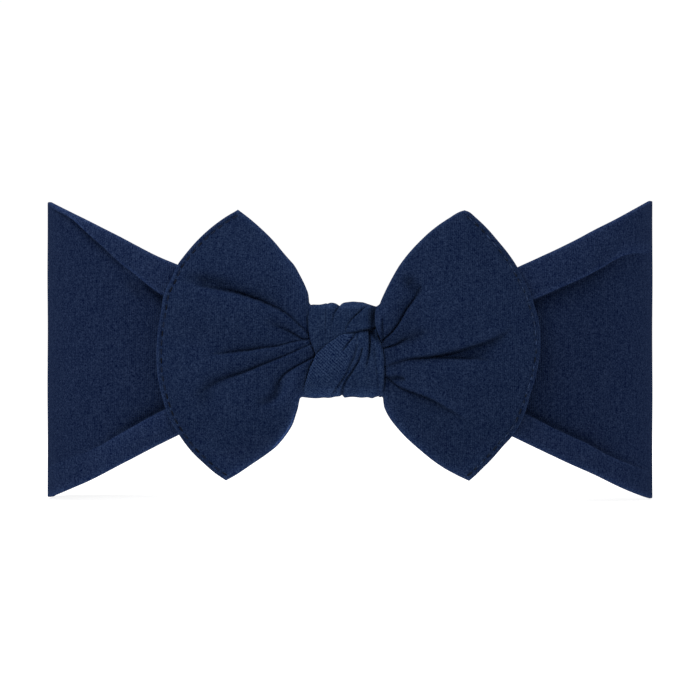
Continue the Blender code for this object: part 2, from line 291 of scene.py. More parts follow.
# ------------------------------------------------------------------ materials
def jersey(name, colour, ribs=0.12, pitch=0.060, toned=True, graded=False):
    """Fine-rib stretch jersey: columns of tiny V-shaped loops, slightly uneven in colour and lie."""
    material = bpy.data.materials.new(name)
    material.use_nodes = True
    tree = material.node_tree
    nodes, links = tree.nodes, tree.links
    shader = nodes["Principled BSDF"]

    def node(kind, **values):
        made = nodes.new(kind)
        for key, value in values.items():
            setattr(made, key, value)
        return made

    def maths(operation, a, b=None):
        made = node("ShaderNodeMath", operation=operation)
        for socket, value in zip(made.inputs, (a, b)):
            if value is None:
                continue
            if isinstance(value, (int, float)):
                socket.default_value = value
            else:
                links.new(value, socket)
        return made.outputs[0]

    knit = node("ShaderNodeUVMap", uv_map="knit").outputs[0]
    place = node("ShaderNodeTexCoord").outputs["Object"]

    # the ribs wander a little
    wander = node("ShaderNodeTexNoise")
    wander.inputs["Scale"].default_value = 1.6
    wander.inputs["Detail"].default_value = 2.0
    links.new(knit, wander.inputs["Vector"])
    parts = node("ShaderNodeSeparateXYZ")
    links.new(knit, parts.inputs[0])
    across = maths("ADD", parts.outputs[0], maths("MULTIPLY", wander.outputs[0], 0.035))
    down = parts.outputs[1]
    # knit coordinates are in cm: ribs a pitch apart, loops a little closer
    rib_phase = maths("MULTIPLY", across, 2 * math.pi / pitch)
    rib = maths("SINE", rib_phase)
    tilt = maths("ABSOLUTE", maths("SINE", maths("MULTIPLY", rib_phase, 0.5)))
    loop = maths(
        "SINE",
        maths(
            "ADD",
            maths("MULTIPLY", down, 2 * math.pi / (0.75 * pitch)),
            maths("MULTIPLY", tilt, 2.4),
        ),
    )
    height = maths("ADD", maths("MULTIPLY", rib, 0.6), maths("MULTIPLY", loop, 0.4))

    # fibres: fine grain, and broader streaks along the ribs
    grain = node("ShaderNodeTexNoise")
    grain.inputs["Scale"].default_value = 2300.0
    grain.inputs["Detail"].default_value = 1.0
    links.new(place, grain.inputs["Vector"])
    fleck = node("ShaderNodeTexNoise")
    fleck.inputs["Scale"].default_value = 1050.0
    fleck.inputs["Detail"].default_value = 1.0
    links.new(place, fleck.inputs["Vector"])
    stretch = node("ShaderNodeMapping")
    stretch.inputs["Scale"].default_value = (9.0, 1.2, 1.0)
    links.new(knit, stretch.inputs["Vector"])
    streak = node("ShaderNodeTexNoise")
    streak.inputs["Scale"].default_value = 1.0
    streak.inputs["Detail"].default_value = 4.0
    links.new(stretch.outputs[0], streak.inputs["Vector"])

    depth = maths("MULTIPLY", height, ribs)
    if graded:
        depth = maths("MULTIPLY", depth, node("ShaderNodeAttribute", attribute_name="taut").outputs["Fac"])
    tone = maths(
        "ADD",
        depth,
        maths(
            "ADD",
            maths("MULTIPLY", maths("SUBTRACT", grain.outputs[0], 0.5), 1.5),
            maths(
                "ADD",
                maths("MULTIPLY", maths("SUBTRACT", fleck.outputs[0], 0.5), 0.45),
                maths("MULTIPLY", maths("SUBTRACT", streak.outputs[0], 0.5), 0.30),
            ),
        ),
    )
    ramp = node("ShaderNodeValToRGB")
    ramp.color_ramp.elements[0].position = 0.0
    ramp.color_ramp.elements[0].color = [c * f for c, f in zip(colour, (0.02, 0.12, 0.42))] + [1]
    ramp.color_ramp.elements[1].position = 1.0  # light flecks are greyer, dark ones bluer
    ramp.color_ramp.elements[1].color = [c * f for c, f in zip(colour, (2.6, 2.2, 1.78))] + [1]
    middle = ramp.color_ramp.elements.new(0.5)
    middle.color = list(colour[:3]) + [1]
    links.new(maths("ADD", tone, 0.5), ramp.inputs[0])
    shade = ramp.outputs[0]
    if toned:  # the tone attribute scales the colour: painted light and shade, with lighter edges
        tint = node("ShaderNodeVectorMath", operation="SCALE")
        links.new(shade, tint.inputs[0])
        lightness = node("ShaderNodeAttribute", attribute_name="tone")
        links.new(lightness.outputs["Fac"], tint.inputs["Scale"])
        shade = tint.outputs[0]
    links.new(shade, shader.inputs["Base Color"])

    rough = maths("ADD", maths("MULTIPLY", grain.outputs[0], 0.16), 0.80)
    links.new(rough, shader.inputs["Roughness"])
    bump = node("ShaderNodeBump")
    bump.inputs["Strength"].default_value = 0.55
    bump.inputs["Distance"].default_value = 0.00010
    links.new(
        maths("ADD", height, maths("MULTIPLY", grain.outputs[0], 1.2)),
        bump.inputs["Height"],
    )
    links.new(bump.outputs[0], shader.inputs["Normal"])
    shader.inputs["Specular IOR Level"].default_value = 0.0
    shader.inputs["Sheen Weight"].default_value = 0.02
    shader.inputs["Sheen Roughness"].default_value = 0.35
    shader.inputs["Sheen Tint"].default_value = (0.32, 0.45, 0.80, 1.0)
    return material


def yarn(name, colour, wear=0.4):
    """Sewing thread: two twisted plies with a soft gloss, rubbed lighter in places."""
    material = bpy.data.materials.new(name)
    material.use_nodes = True
    tree = material.node_tree
    nodes, links = tree.nodes, tree.links
    shader = nodes["Principled BSDF"]
    place = nodes.new("ShaderNodeTexCoord").outputs["Object"]
    ply = nodes.new("ShaderNodeTexWave")
    ply.wave_type = "BANDS"
    ply.bands_direction = "DIAGONAL"
    ply.inputs["Scale"].default_value = 900.0
    ply.inputs["Distortion"].default_value = 1.5
    links.new(place, ply.inputs["Vector"])
    fuzz_and_painted_light = nodes.new("ShaderNodeTexNoise")
    fuzz_and_painted_light.inputs["Scale"].default_value = 3500.0
    links.new(place, fuzz_and_painted_light.inputs["Vector"])
    ramp = nodes.new("ShaderNodeValToRGB")
    ramp.color_ramp.elements[0].color = [c * (1 - wear) for c in colour[:3]] + [1]
    ramp.color_ramp.elements[1].color = [c * (1 + wear) for c in colour[:3]] + [1]
    ramp.color_ramp.elements[0].position = 0.3
    ramp.color_ramp.elements[1].position = 0.7
    rubbed = nodes.new("ShaderNodeTexNoise")
    rubbed.inputs["Scale"].default_value = 420.0
    rubbed.inputs["Detail"].default_value = 0.0
    links.new(place, rubbed.inputs["Vector"])
    blend = nodes.new("ShaderNodeMath")
    blend.operation = "MULTIPLY_ADD"
    blend.inputs[1].default_value = 0.3
    mixed = nodes.new("ShaderNodeMath")
    mixed.operation = "MULTIPLY_ADD"
    mixed.inputs[1].default_value = 0.55
    links.new(ply.outputs[1], mixed.inputs[0])
    quarter = nodes.new("ShaderNodeMath")
    quarter.operation = "MULTIPLY"
    quarter.inputs[1].default_value = 0.45
    links.new(fuzz_and_painted_light.outputs[0], quarter.inputs[0])
    links.new(quarter.outputs[0], mixed.inputs[2])
    links.new(mixed.outputs[0], blend.inputs[0])
    more = nodes.new("ShaderNodeMath")
    more.operation = "MULTIPLY_ADD"
    more.inputs[1].default_value = 1.6
    more.inputs[2].default_value = -0.45
    links.new(rubbed.outputs[0], more.inputs[0])
    links.new(more.outputs[0], blend.inputs[2])
    links.new(blend.outputs[0], ramp.inputs[0])
    links.new(ramp.outputs[0], shader.inputs["Base Color"])
    bump = nodes.new("ShaderNodeBump")
    bump.inputs["Strength"].default_value = 0.6
    bump.inputs["Distance"].default_value = 0.00006
    links.new(mixed.outputs[0], bump.inputs["Height"])
    links.new(bump.outputs[0], shader.inputs["Normal"])
    rough = nodes.new("ShaderNodeMath")
    rough.operation = "MULTIPLY_ADD"
    rough.inputs[1].default_value = 0.2
    rough.inputs[2].default_value = 0.5
    links.new(fuzz_and_painted_light.outputs[0], rough.inputs[0])
    links.new(rough.outputs[0], shader.inputs["Roughness"])
    shader.inputs["Specular IOR Level"].default_value = 0.06
    return material


# One navy jersey in three colours: painted light sets the knot lightest, the wings next and the band darkest, as the
# light falls on them
BAND_COLOUR = (0.0061, 0.0115, 0.0317)
BOW_COLOUR = (0.0066, 0.0129, 0.0348)
KNOT_COLOUR = (0.0083, 0.0167, 0.0433)
# One thread: its colour set dark, partly as painted shade for the left hem's sunken stitches, and a lighter copy as
# painted light for the right hem's stitches
THREAD_COLOUR = (0.0030, 0.0056, 0.0155)
LIT_THREAD_COLOUR = (0.0105, 0.0195, 0.0470)

band_cloth = jersey("band_jersey", BAND_COLOUR)
bow_cloth = jersey("bow_jersey", BOW_COLOUR)
knot_cloth = jersey("knot_jersey", KNOT_COLOUR, ribs=0.32, pitch=0.077, graded=True)
inner_cloth = jersey("inner_jersey", BOW_COLOUR, toned=False)
sewing = yarn("sewing_thread", THREAD_COLOUR, wear=0.6)
lit_sewing = yarn("lit_sewing_thread", LIT_THREAD_COLOUR, wear=0.75)

# ------------------------------------------------------------------ the band
LOOP_A, LOOP_B, LOOP_N, LOOP_Y = 93.35, 42.0, 3.6, 6.1
BAND_T = 1.4
SEAM_H = 12.5
SEAM_TURN, SEAM_HALF = 1.1, 0.74  # radius of the turn at the back seam; middle of each turned-in edge, from the seam

# Front view: the band's upper and lower edges, then the inner edges of the puffed rolls along them.
TOP_EDGE = [(48, 202), (55, 205.3), (61, 208), (73, 213.7), (85, 219.4), (97, 225.4), (109, 231.4), (121, 237.3), (133, 243.8), (145, 250.1), (157, 256.2), (169, 261.2), (178, 264.6), (300, 321.5), (330, 331), (350, 331.5), (370, 333), (400, 327), (519, 266.4), (532, 260.8), (544, 255.2), (556, 249.8), (568, 243.9), (580, 237.9), (592, 231.2), (604, 225.3), (616, 219.6), (628, 213.3), (640, 206.9), (652, 200.8)]
LOW_EDGE = [(48, 497), (55, 494.6), (61, 492.4), (73, 487.5), (85, 482.6), (97, 476.9), (109, 470.6), (121, 464.2), (133, 458.2), (145, 451.8), (157, 445.6), (169, 439.7), (179, 434.9), (300, 371), (330, 368), (350, 370), (372, 375), (400, 386), (512, 436.3), (520, 440.2), (532, 446), (544, 451.7), (556, 457.3), (568, 463), (580, 468.3), (592, 473.4), (604, 479.2), (616, 485.2), (628, 490.4), (640, 494.9), (646, 496.8), (652, 498.4)]
ROLL_TOP = [(40, 0), (58, 1), (64, 2.5), (70, 4.1), (77, 5.6), (84, 8.5), (90, 11), (98, 14.9), (106, 18.1), (116, 23.4), (126, 27), (136, 29.1), (146, 32.2), (154, 34.4), (162, 36.7), (250, 26), (330, 9), (372, 9), (450, 26), (534, 39.3), (560, 39.7), (580, 41), (600, 40.7), (610, 38.7), (620, 39.1), (630, 41.9), (640, 47.4), (652, 52.8), (660, 55)]
ROLL_LOW = [(40, 29.5), (96, 29.7), (104, 29), (120, 30.2), (144.5, 31.5), (164.5, 32), (250, 22), (330, 8), (372, 8), (450, 19), (524.5, 29.4), (551, 27.8), (582, 27.5), (602, 25.2), (622, 26.2), (640, 26.8), (660, 26.8)]
# How much each roll stands out, along x: it flattens out towards the ends.
LIFT_TOP = [(40, 0), (50, 0.0), (60, 0.3), (74, 0.7), (90, 0.8), (110, 0.7), (136, 0.65), (150, 1.0), (170, 1.0), (215, 0.4), (330, 0.3), (372, 0.3), (480, 0.4), (525, 1.0), (590, 0.95), (612, 0.65), (626, 0.4), (640, 0.22), (652, 0.1), (660, 0.1)]
LIFT_LOW = [(40, 0), (78, 0.0), (92, 0.15), (104, 0.4), (118, 0.7), (135, 1.0), (170, 1.0), (215, 0.4), (330, 0.3), (372, 0.3), (480, 0.4), (518, 1.0), (590, 0.95), (606, 0.75), (620, 0.45), (634, 0.2), (648, 0.0), (660, 0)]
# How deep the cloth dips beside each roll, as a share of the usual.
DIP_TOP = [(40, 0.3), (62, 0.5), (75, 0.9), (88, 0.9), (100, 0.5), (112, 0.3), (124, 0.15), (138, 0.2), (148, 0.8), (160, 1.1), (300, 1), (590, 1), (612, 0.6), (660, 0.3)]
DIP_LOW = [(40, 0.3), (104, 0.4), (120, 0.75), (135, 1.0), (160, 1.1), (300, 1), (660, 1)]
ROLL_HEIGHT = 2.6


def read(table, x):
    t = np.array(table, float)
    return np.interp(x, t[:, 0], t[:, 1])


def loop_plan():
    """Half of the loop's plan, from the front's middle round +X to the turned-in seam at the back: x, y, and length along it."""
    a = np.linspace(-math.pi / 2, math.pi / 2, 4001)
    r = (
        np.abs(np.cos(a) / LOOP_A) ** LOOP_N + np.abs(np.sin(a) / LOOP_B) ** LOOP_N
    ) ** (-1 / LOOP_N)
    x, y = r * np.cos(a), LOOP_Y + r * np.sin(a)
    turn, hem = SEAM_TURN, SEAM_HALF
    keep = ~((x < hem + turn) & (y > LOOP_Y))
    x, y = x[keep], y[keep]
    bend = np.linspace(0, math.pi / 2, 12)
    back = LOOP_Y + LOOP_B
    x = np.r_[x, hem + turn - turn * np.sin(bend)]
    y = np.r_[y, back - turn + turn * np.cos(bend)]
    down = np.linspace(0.2, 2.9, 8)
    x, y = np.r_[x, np.full(8, hem)], np.r_[y, back - turn - down]
    s = np.r_[0, np.cumsum(np.hypot(np.diff(x), np.diff(y)))]
    return x, y, s


plan_x, plan_y, plan_s = loop_plan()
SEAM_FROM = plan_s[-1] - 2.9 - SEAM_TURN * math.pi / 2
half = np.r_[np.arange(0, SEAM_FROM - 1.0, 0.85), np.linspace(SEAM_FROM, plan_s[-1], 16)]
stations = np.r_[-half[:0:-1], half]
sx = np.sign(stations) * np.interp(np.abs(stations), plan_s, plan_x)
sy = np.interp(np.abs(stations), plan_s, plan_y)
tangent = np.stack([np.gradient(sx, stations), np.gradient(sy, stations)], -1)
tangent /= np.linalg.norm(tangent, axis=1)[:, None]
normal = np.stack([tangent[:, 1], -tangent[:, 0]], -1)  # outwards
front = sy < LOOP_Y
pixel = 350 + sx * FOCAL / (sy - CAM_Y)
reach = (sy - CAM_Y) / FOCAL
share = np.clip(np.abs(sx) / LOOP_A, 0, 1)
back_half = SEAM_H + (46.0 - SEAM_H) * share**2.2
side_px = np.clip(pixel + 0.7 * normal[:, 0] / reach, 48, 652)  # of the outer face
top = np.where(front, np.minimum((350 - read(TOP_EDGE, side_px)) * reach, 46.3), back_half)
low = np.where(front, (350 - read(LOW_EDGE, side_px)) * reach, -back_half)
for _ in range(6):  # no kinks where the rules meet
    inner = slice(1, -1)
    top[inner] = (top[:-2] + 2 * top[inner] + top[2:]) / 4
    low[inner] = (low[:-2] + 2 * low[inner] + low[2:]) / 4
low = np.maximum(low, -46.0)
roll_top = np.where(front, read(ROLL_TOP, pixel) * reach, 3.0)
roll_low = np.where(front, read(ROLL_LOW, pixel) * reach, 3.0)
lift_top = np.where(front, read(LIFT_TOP, pixel), 0.0)
lift_low = np.where(front, read(LIFT_LOW, pixel), 0.0)
dip_top = read(DIP_TOP, pixel)
dip_low = read(DIP_LOW, pixel)
level_end = ease((LOOP_A - np.abs(sx)) / 2.4)  # nothing stands out where the loop turns
lift_top, lift_low = lift_top * level_end, lift_low * level_end
tall = top - low
roll_top = np.clip(roll_top, 1.25, 0.42 * tall)
roll_low = np.clip(roll_low, 1.6, 0.42 * tall)
pull_top, pull_low = lift_top, lift_low
lift_top = np.minimum(lift_top, 0.6 * roll_top / ROLL_HEIGHT)  # a narrow roll stays low, beside the same dip
lift_top = lift_top * (0.35 + 0.65 * ease((LOOP_A - np.abs(sx)) / 8.0))
dip_top = dip_top * pull_top / np.maximum(lift_top, 1e-6)
# how far past the turn at either end, round the back: 1 at the turn, and none 45 mm on
TURN_AT = float(np.interp(LOOP_A - 0.01, plan_x[plan_y < LOOP_Y], plan_s[plan_y < LOOP_Y]))
past_turn = np.where(front, 1.0, 1 - ease((np.abs(stations) - TURN_AT) / 45.0))
neck = np.exp(-((np.maximum(np.abs(sx) - 11.0, 0) / 9.0) ** 2)) * front
thick = BAND_T + 2.2 * neck

# One section: rows of (distance from an edge, height); the roll's lip hangs over a little.
ROLL_ROWS = [(0.10, 0.62), (0.22, 0.80), (0.38, 0.93), (0.55, 1.0), (0.70, 1.02), (0.82, 1.0), (0.92, 0.97)]
LIP_ROWS = [(-0.55, 0.95), (-0.22, 0.86), (0.0, 0.64), (0.02, 0.36), (-0.2, 0.06), (-0.36, -0.25), (-0.1, -0.5), (0.5, -0.62)]
VALLEY, VALLEY_REACH = -0.62, 3.2


def band_sections():
    count = len(stations)
    rows_z, rows_h = [], []  # outer face from the lower edge to the upper one
    edge = np.array([0.0, 0.06, 0.2, 0.42, 0.7, 1.05])  # mm in from an edge, where it is round

    def roll(width, lift, dip):
        z, h = [], []
        for e in edge:
            z.append(np.full(count, e))
            h.append(0.55 * lift * (e / 1.05))
        for d, level in ROLL_ROWS:
            z.append(1.1 + d * (width - 1.1))
            h.append(level * lift)
        for d, level in LIP_ROWS:
            z.append(width + (d if d > 0.4 else d * np.minimum(1, lift * 1.4)))
            h.append(level * lift * (dip if level < 0 else 1.0))
        return z, h

    zl, hl = roll(roll_low, lift_low, dip_low)
    zt, ht = roll(roll_top, lift_top, dip_top)
    start, stop = zl[-1], tall - zt[-1]
    rows_z += zl
    rows_h += hl
    middle = 66
    for k in range(1, middle):
        f = k / middle
        z = start + (stop - start) * f
        rows_z.append(z)
        rows_h.append(
            VALLEY
            * (
                lift_low * dip_low * np.exp(-(z - start) / VALLEY_REACH)
                + lift_top * dip_top * np.exp(-(stop - z) / VALLEY_REACH)
            )
        )
    rows_z += [tall - z for z in zt[::-1]]
    rows_h += ht[::-1]
    z, h = np.stack(rows_z, 1), np.stack(rows_h, 1) * ROLL_HEIGHT
    from_edge = np.minimum(z, tall[:, None] - z)
    crisp = (1.05 - 0.75 * ease((np.abs(sx) - 84.0) / 8.0))[:, None]  # the edge's roundness
    dome = np.sqrt(np.clip(1 - (1 - np.clip(from_edge / crisp, 0, 1)) ** 2, 0, 1))
    face = thick[:, None] / 2 * dome
    inner_rows = 60
    f = 0.5 - 0.5 * np.cos(np.linspace(0, math.pi, inner_rows + 2))[1:-1]
    zi = tall[:, None] * (1 - f)[None, :]
    from_edge_i = np.minimum(zi, tall[:, None] - zi)
    dome_i = np.sqrt(np.clip(1 - (1 - np.clip(from_edge_i / crisp, 0, 1)) ** 2, 0, 1))
    sunk = VALLEY * ROLL_HEIGHT * (
        (lift_low * dip_low)[:, None] * np.exp(-np.abs(zi - start[:, None]) / VALLEY_REACH)
        + (lift_top * dip_top)[:, None] * np.exp(-np.abs(stop[:, None] - zi) / VALLEY_REACH)
    )
    face_i = -thick[:, None] / 2 * dome_i + sunk * ease(from_edge_i / 6.0)
    # gathers run into the knot and into the back seam
    from_seam = np.maximum(SEAM_FROM - np.abs(stations), 0)
    sewn_flat = ease(from_seam / 5.0)
    at_seam = np.exp(-from_seam / 20.0) * sewn_flat
    spread = np.exp(-from_seam / 48.0) * sewn_flat
    at_knot = np.exp(-np.maximum(np.abs(sx) - 9.0, 0) / 13.0) * front

    def gathers(zz):
        v = zz / tall[:, None]
        bend = 0.3 * np.sin(stations / 9.0)[:, None]
        seam = 0.80 * np.sin(2 * math.pi * 4.5 * v + 0.7 + bend) + 0.40 * np.sin(
            2 * math.pi * 8.0 * v + 2.1 - bend
        )
        long = 0.75 * np.sin(2 * math.pi * 2.6 * v + 1.9 - 0.6 * bend)
        knot = 0.6 * np.sin(2 * math.pi * 2.5 * v + 0.4 + bend)
        shape = seam * at_seam[:, None] + long * spread[:, None] + knot * at_knot[:, None]
        slack = ripple(
            np.broadcast_to(stations[:, None], zz.shape), zz * 1.3, 11, 46.0
        ) * (sewn_flat * (0.75 - 0.45 * front) * (1 - np.exp(-(((np.abs(sx) - LOOP_A) / 9.0) ** 2))))[:, None]
        return shape * np.sin(math.pi * np.clip(v, 0, 1)) ** 0.4 + slack

    out = np.concatenate([h + face + gathers(z), face_i + gathers(zi)], 1)
    zz = np.concatenate([z, zi], 1) + low[:, None] + ZC
    x = sx[:, None] + normal[:, 0:1] * out
    y = sy[:, None] + normal[:, 1:2] * out
    knit = np.stack(
        [np.broadcast_to(stations[:, None], zz.shape), zz], -1
    )
    # the rolls are lighter, with painted highlights along their lips
    to_low, to_top = roll_low[:, None] - z, roll_top[:, None] - (tall[:, None] - z)
    roll_out_low, roll_out_top = np.minimum(1, 1.45 * pull_low)[:, None], np.minimum(1, 1.45 * pull_top)[:, None]
    on_roll = roll_out_low * ease(to_low / 0.4 + 0.5) + roll_out_top * ease(to_top / 0.4 + 0.5)
    # painted highlight along each roll's lip, where it catches the light
    lip_highlight = 0.22 * roll_out_low * np.exp(-(((to_low - 0.35) / 0.45) ** 2)) + 0.60 * roll_out_top * np.exp(-(((to_top - 0.36) / 0.50) ** 2))
    # painted sheen along every edge, where fuzzy fibres catch the light
    fuzz_and_painted_light = 0.60 * np.exp(-((from_edge / 0.45) ** 2)) + 0.16 * np.exp(-((from_edge / 1.3) ** 2))
    fuzz_and_painted_light = fuzz_and_painted_light + 0.30 * np.exp(-((z / 1.5) ** 2)) * front[:, None]  # painted light, most along the lower edge
    to_edge = tall[:, None] - z
    # painted light along the top edge's left end and painted shade along the right one, as the light comes from the
    # left
    fuzz_and_painted_light = fuzz_and_painted_light + (np.where(sx > 0, -0.16, 0.16 * ease((105 - pixel) / 20)) * front)[:, None] * np.exp(-((to_edge / 1.0) ** 2))
    # painted light on the upper roll's end on the right; on the left, in the middle, painted light just under the roll
    # and painted shade below it
    fuzz_and_painted_light = fuzz_and_painted_light + (0.20 * ease((pixel - 606) / 14) * ease((652 - pixel) / 8) * front)[:, None] * np.exp(-(((to_top - 1.5) / 2.0) ** 2))
    under_roll_paint = (np.exp(-(((pixel - 136) / 11.0) ** 2)) * front)[:, None]
    fuzz_and_painted_light = fuzz_and_painted_light + under_roll_paint * (0.50 * np.exp(-(((to_top + 0.7) / 0.9) ** 2)) - 0.26 * np.exp(-(((to_top + 4.4) / 2.2) ** 2)))
    # painted light on the right end and round the back, where the cloth turns away from the key light
    turn_painted_light = 0.17 * (np.where(front, ease((pixel - 585) / 55), sx > 0) * past_turn)[:, None]
    tone = 1 + 0.20 * on_roll + lip_highlight + fuzz_and_painted_light + turn_painted_light
    # painted light on the lower left strip, as the light comes from the left
    low_strip = np.where(front, roll_low, 9.2)[:, None]
    left_low_painted_light = ease((low_strip - z) / 2.0 + 0.5) * ((sx < -50) * past_turn)[:, None]
    tone = np.concatenate([tone + 0.14 * left_low_painted_light, np.ones_like(zi)], 1)
    return np.stack([x, y, zz], -1), knit, tone


band_points, band_knit, band_tone = band_sections()
band = grid_mesh("band", band_points, band_knit, band_tone, round_v=True, caps=True)
band.data.materials.append(band_cloth)
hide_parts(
    "band_front",
    "band_side_left",
    "band_side_right",
    "band_back_left",
    "band_back_right",
)
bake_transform(band)

# ------------------------------------------------------------------ the bow's wings
BOW_Y = -42.4
KNOT_Y = -40.3
CLOTH_T = 0.6

LEFT = {
    "upper": [(316, 307.5), (312, 305.6), (309.6, 303.2), (309, 299), (308.3, 293.8), (306, 287.6), (300, 275.2), (294, 264.8), (288, 258), (284, 253.4), (274, 241.3), (262, 229.3), (249, 218), (238, 209.6)],
    "lower": [(313, 393), (306, 396.6), (300.4, 398), (299.2, 402), (298, 408), (295.6, 416), (292.8, 424.2), (288, 432.4), (282, 440.4), (276, 447), (270, 451.8), (264, 456.2), (253, 463.6), (235, 475.6), (226, 480.6)],
    "hem": [(226, 480.6), (217, 474.7), (203, 462.8), (191, 451), (179, 434.8), (169.5, 419), (165, 407), (160, 389), (157, 372), (156.3, 353), (157.6, 332), (161, 311), (164, 294), (172, 277), (178, 264), (185, 254.6), (195, 242.8), (208, 230.2), (224, 218), (238, 209.6)],
    "inner": [(313, 393), (318, 372), (319, 350), (318, 330), (316, 307.5)],
}
RIGHT = {
    "upper": [(376.8, 306.2), (379.4, 304.2), (381.2, 300), (385.8, 290), (392, 278), (399, 266), (408, 254), (419, 242), (432, 230), (449, 218), (461, 211.2), (464.6, 210.2)],
    "lower": [(373, 392), (378.2, 395.8), (382.4, 397.2), (383.3, 402), (384.1, 406.9), (386.3, 412.3), (390, 418.7), (396, 426.5), (402, 433.4), (408, 439.5), (420, 450.1), (432, 460), (444, 468.2), (456, 474.8), (469, 481)],
    "hem": [(469, 481), (475, 476), (481, 470.1), (493, 458), (503, 446.4), (512, 436.6), (519, 426), (526, 410), (530.5, 394), (535.6, 378), (538.7, 363), (540.7, 347), (540.5, 338), (539, 321), (535, 307), (531, 294), (523, 278), (517, 266.4), (508, 253), (498, 240.8), (488, 229.2), (476, 217.6), (468.4, 211.5), (464.6, 210.2)],
    "inner": [(373, 392), (371.5, 372), (374, 352), (381, 342), (378.6, 335), (375.2, 323.6), (374.8, 317.8), (375.4, 311), (376.8, 306.2)],
}


def folds_left(p):
    """The left wing's pleats, from its upper edge down."""
    h = fold(p, [(194, 285.6), (204.7, 286.9), (211.1, 288.3), (221.1, 290.2), (231.1, 292.4), (240.2, 294.7), (249.3, 297.9), (260.2, 301.5), (268.4, 305.1), (277.3, 309.2), (286.1, 314.2), (293.3, 320.1), (298.8, 325.2), (304.3, 329.7), (312, 337)],
             [0, -1.6, -2.6, -2.9, -2.5, -1.7, -1.0, -0.6, -0.4], [0, 0.3, 0.7, 1.0, 1.1, 1.0, 0.7, 0.5, 0.3], 3.0, 6.0,
             [0, 0.15, 0.40, 0.60, 0.55, 0.50, 0.40, 0.35, 0.2], width=[0.35, 0.45, 0.46, 0.42, 0.38, 0.32, 0.28, 0.26, 0.24])
    h += swell(p, [(189, 278.5), (203, 281), (218, 284), (238, 290.5)], [-0.4, -1.5, -1.3, 0], 2.0)
    h += fold(p, [(270, 324), (278.4, 328), (285.6, 330.3), (291.1, 333.3), (297.5, 336.9), (302.9, 339.8), (309, 340.4), (316, 341.2)],
              [0, -0.6, -1.0, -1.0, -0.6, -0.3], [0, -0.1, 0.0, 0.1, 0.1, 0.1], 1.6, 2.0, [0, 0.1, 0.25, 0.45, 0.35, 0.2], width=[0.6, 0.6, 0.5, 0.4, 0.34, 0.3])
    h += fold(p, [(205, 356.5), (215, 355.4), (223.8, 354.3), (236.5, 352.4), (249.3, 351), (262, 348.7), (276.5, 346.8), (291.1, 342.9), (304.7, 340), (316, 338)],
              [0, -0.8, -1.4, -1.6, -1.4, -1.0, -0.7, -0.5, -0.3], [0, 0.1, 0.35, 0.6, 0.6, 0.5, 0.4, 0.3, 0.2], 2.0, 4.0,
              [0, 0.1, 0.3, 0.45, 0.5, 0.45, 0.4, 0.3, 0.2], width=[0.4, 0.4, 0.38, 0.34, 0.3, 0.28, 0.26, 0.24, 0.24])
    h += fold(p, [(192, 402), (200, 394.4), (209.3, 388), (218.4, 381.8), (227.5, 377.9), (240.2, 374.1), (249.3, 370.8), (260.2, 366.1), (271.1, 361.8), (282, 357.5), (291.1, 353.6), (302, 348.6), (316, 342.3)],
              [0, -0.6, -1.1, -1.5, -1.6, -1.2, -0.8, -0.6, -0.4], [0, -0.3, -0.4, -0.1, 0.3, 0.5, 0.5, 0.4, 0.3], 2.2, 4.0,
              [0, 0.1, 0.3, 0.6, 0.9, 0.65, 0.45, 0.4, 0.3], width=[0.8, 0.8, 0.8, 0.7, 0.5, 0.36, 0.3, 0.26, 0.24])
    h += swell(p, [(203, 391), (216, 382.5), (229, 377.5), (246, 371.8)], [-0.1, -0.5, -0.5, 0], 1.5)
    h += swell(p, [(211, 385), (206, 397), (206, 414)], [-0.3, -0.9, 0], 2.2)
    h += fold(p, [(277.6, 388.8), (278.6, 384.4), (280.9, 379.5), (285.4, 374.2), (291.8, 369.7), (300.8, 364.5), (309.9, 359.4), (320, 353.5)],
              [0, -0.7, -0.9, -0.9, -0.8, -0.7, -0.5], [0, 0.3, 0.5, 0.5, 0.4, 0.3, 0.2], 1.7, 3.6,
              [0, 0.6, 0.9, 0.8, 0.8, 0.9, 0.8], width=[0.5, 0.45, 0.38, 0.32, 0.28, 0.27, 0.27])
    h += swell(p, [(281.5, 378.5), (278.4, 384), (277.8, 389), (275.6, 394), (269.3, 399.5), (256, 405.5)], [-0.3, -1.4, -1.7, -1.4, -0.9, 0], 1.3)
    # the wing dips where it goes in under the knot
    h += fold(p, [(308.8, 309), (307.9, 318), (308.3, 328), (309.8, 339), (312.2, 346), (315.6, 354.6), (312.6, 361.9), (309.8, 369.6), (307.6, 377), (305.6, 383), (302.8, 391.6), (301.4, 396)],
              [0, -0.2, -0.3, -0.4, -0.5, -0.6, -0.5, -0.3, -0.2, 0], [0, -0.1, -0.1, -0.1, -0.2, -0.3, -0.3, -0.3, -0.3, 0], 1.6, 0.9,
              [0, 0.25, 0.3, 0.4, 0.5, 0.7, 0.6, 0.5, 0.4, 0], width=0.26)
    # the broad crowns between them
    h += swell(p, [(185, 330), (230, 318), (280, 322)], [0, 0.7, 0.4], 5.5)
    h += swell(p, [(180, 372), (225, 363), (285, 348)], [0, 0.5, 0.2], 3.6)
    h += swell(p, [(195, 430), (240, 400), (290, 364)], [0, 0.7, 0.3], 6.0)
    h += swell(p, [(225, 250), (262, 268), (300, 300)], [0, 0.7, 0.6], 6.5)
    h += swell(p, [(215, 452), (250, 425), (282, 400)], [0, 0.4, 0.2], 5.0)
    h += swell(p, [(285, 410), (289, 392), (298, 374)], [0.3, 0.7, 0.4], 2.6)
    return h


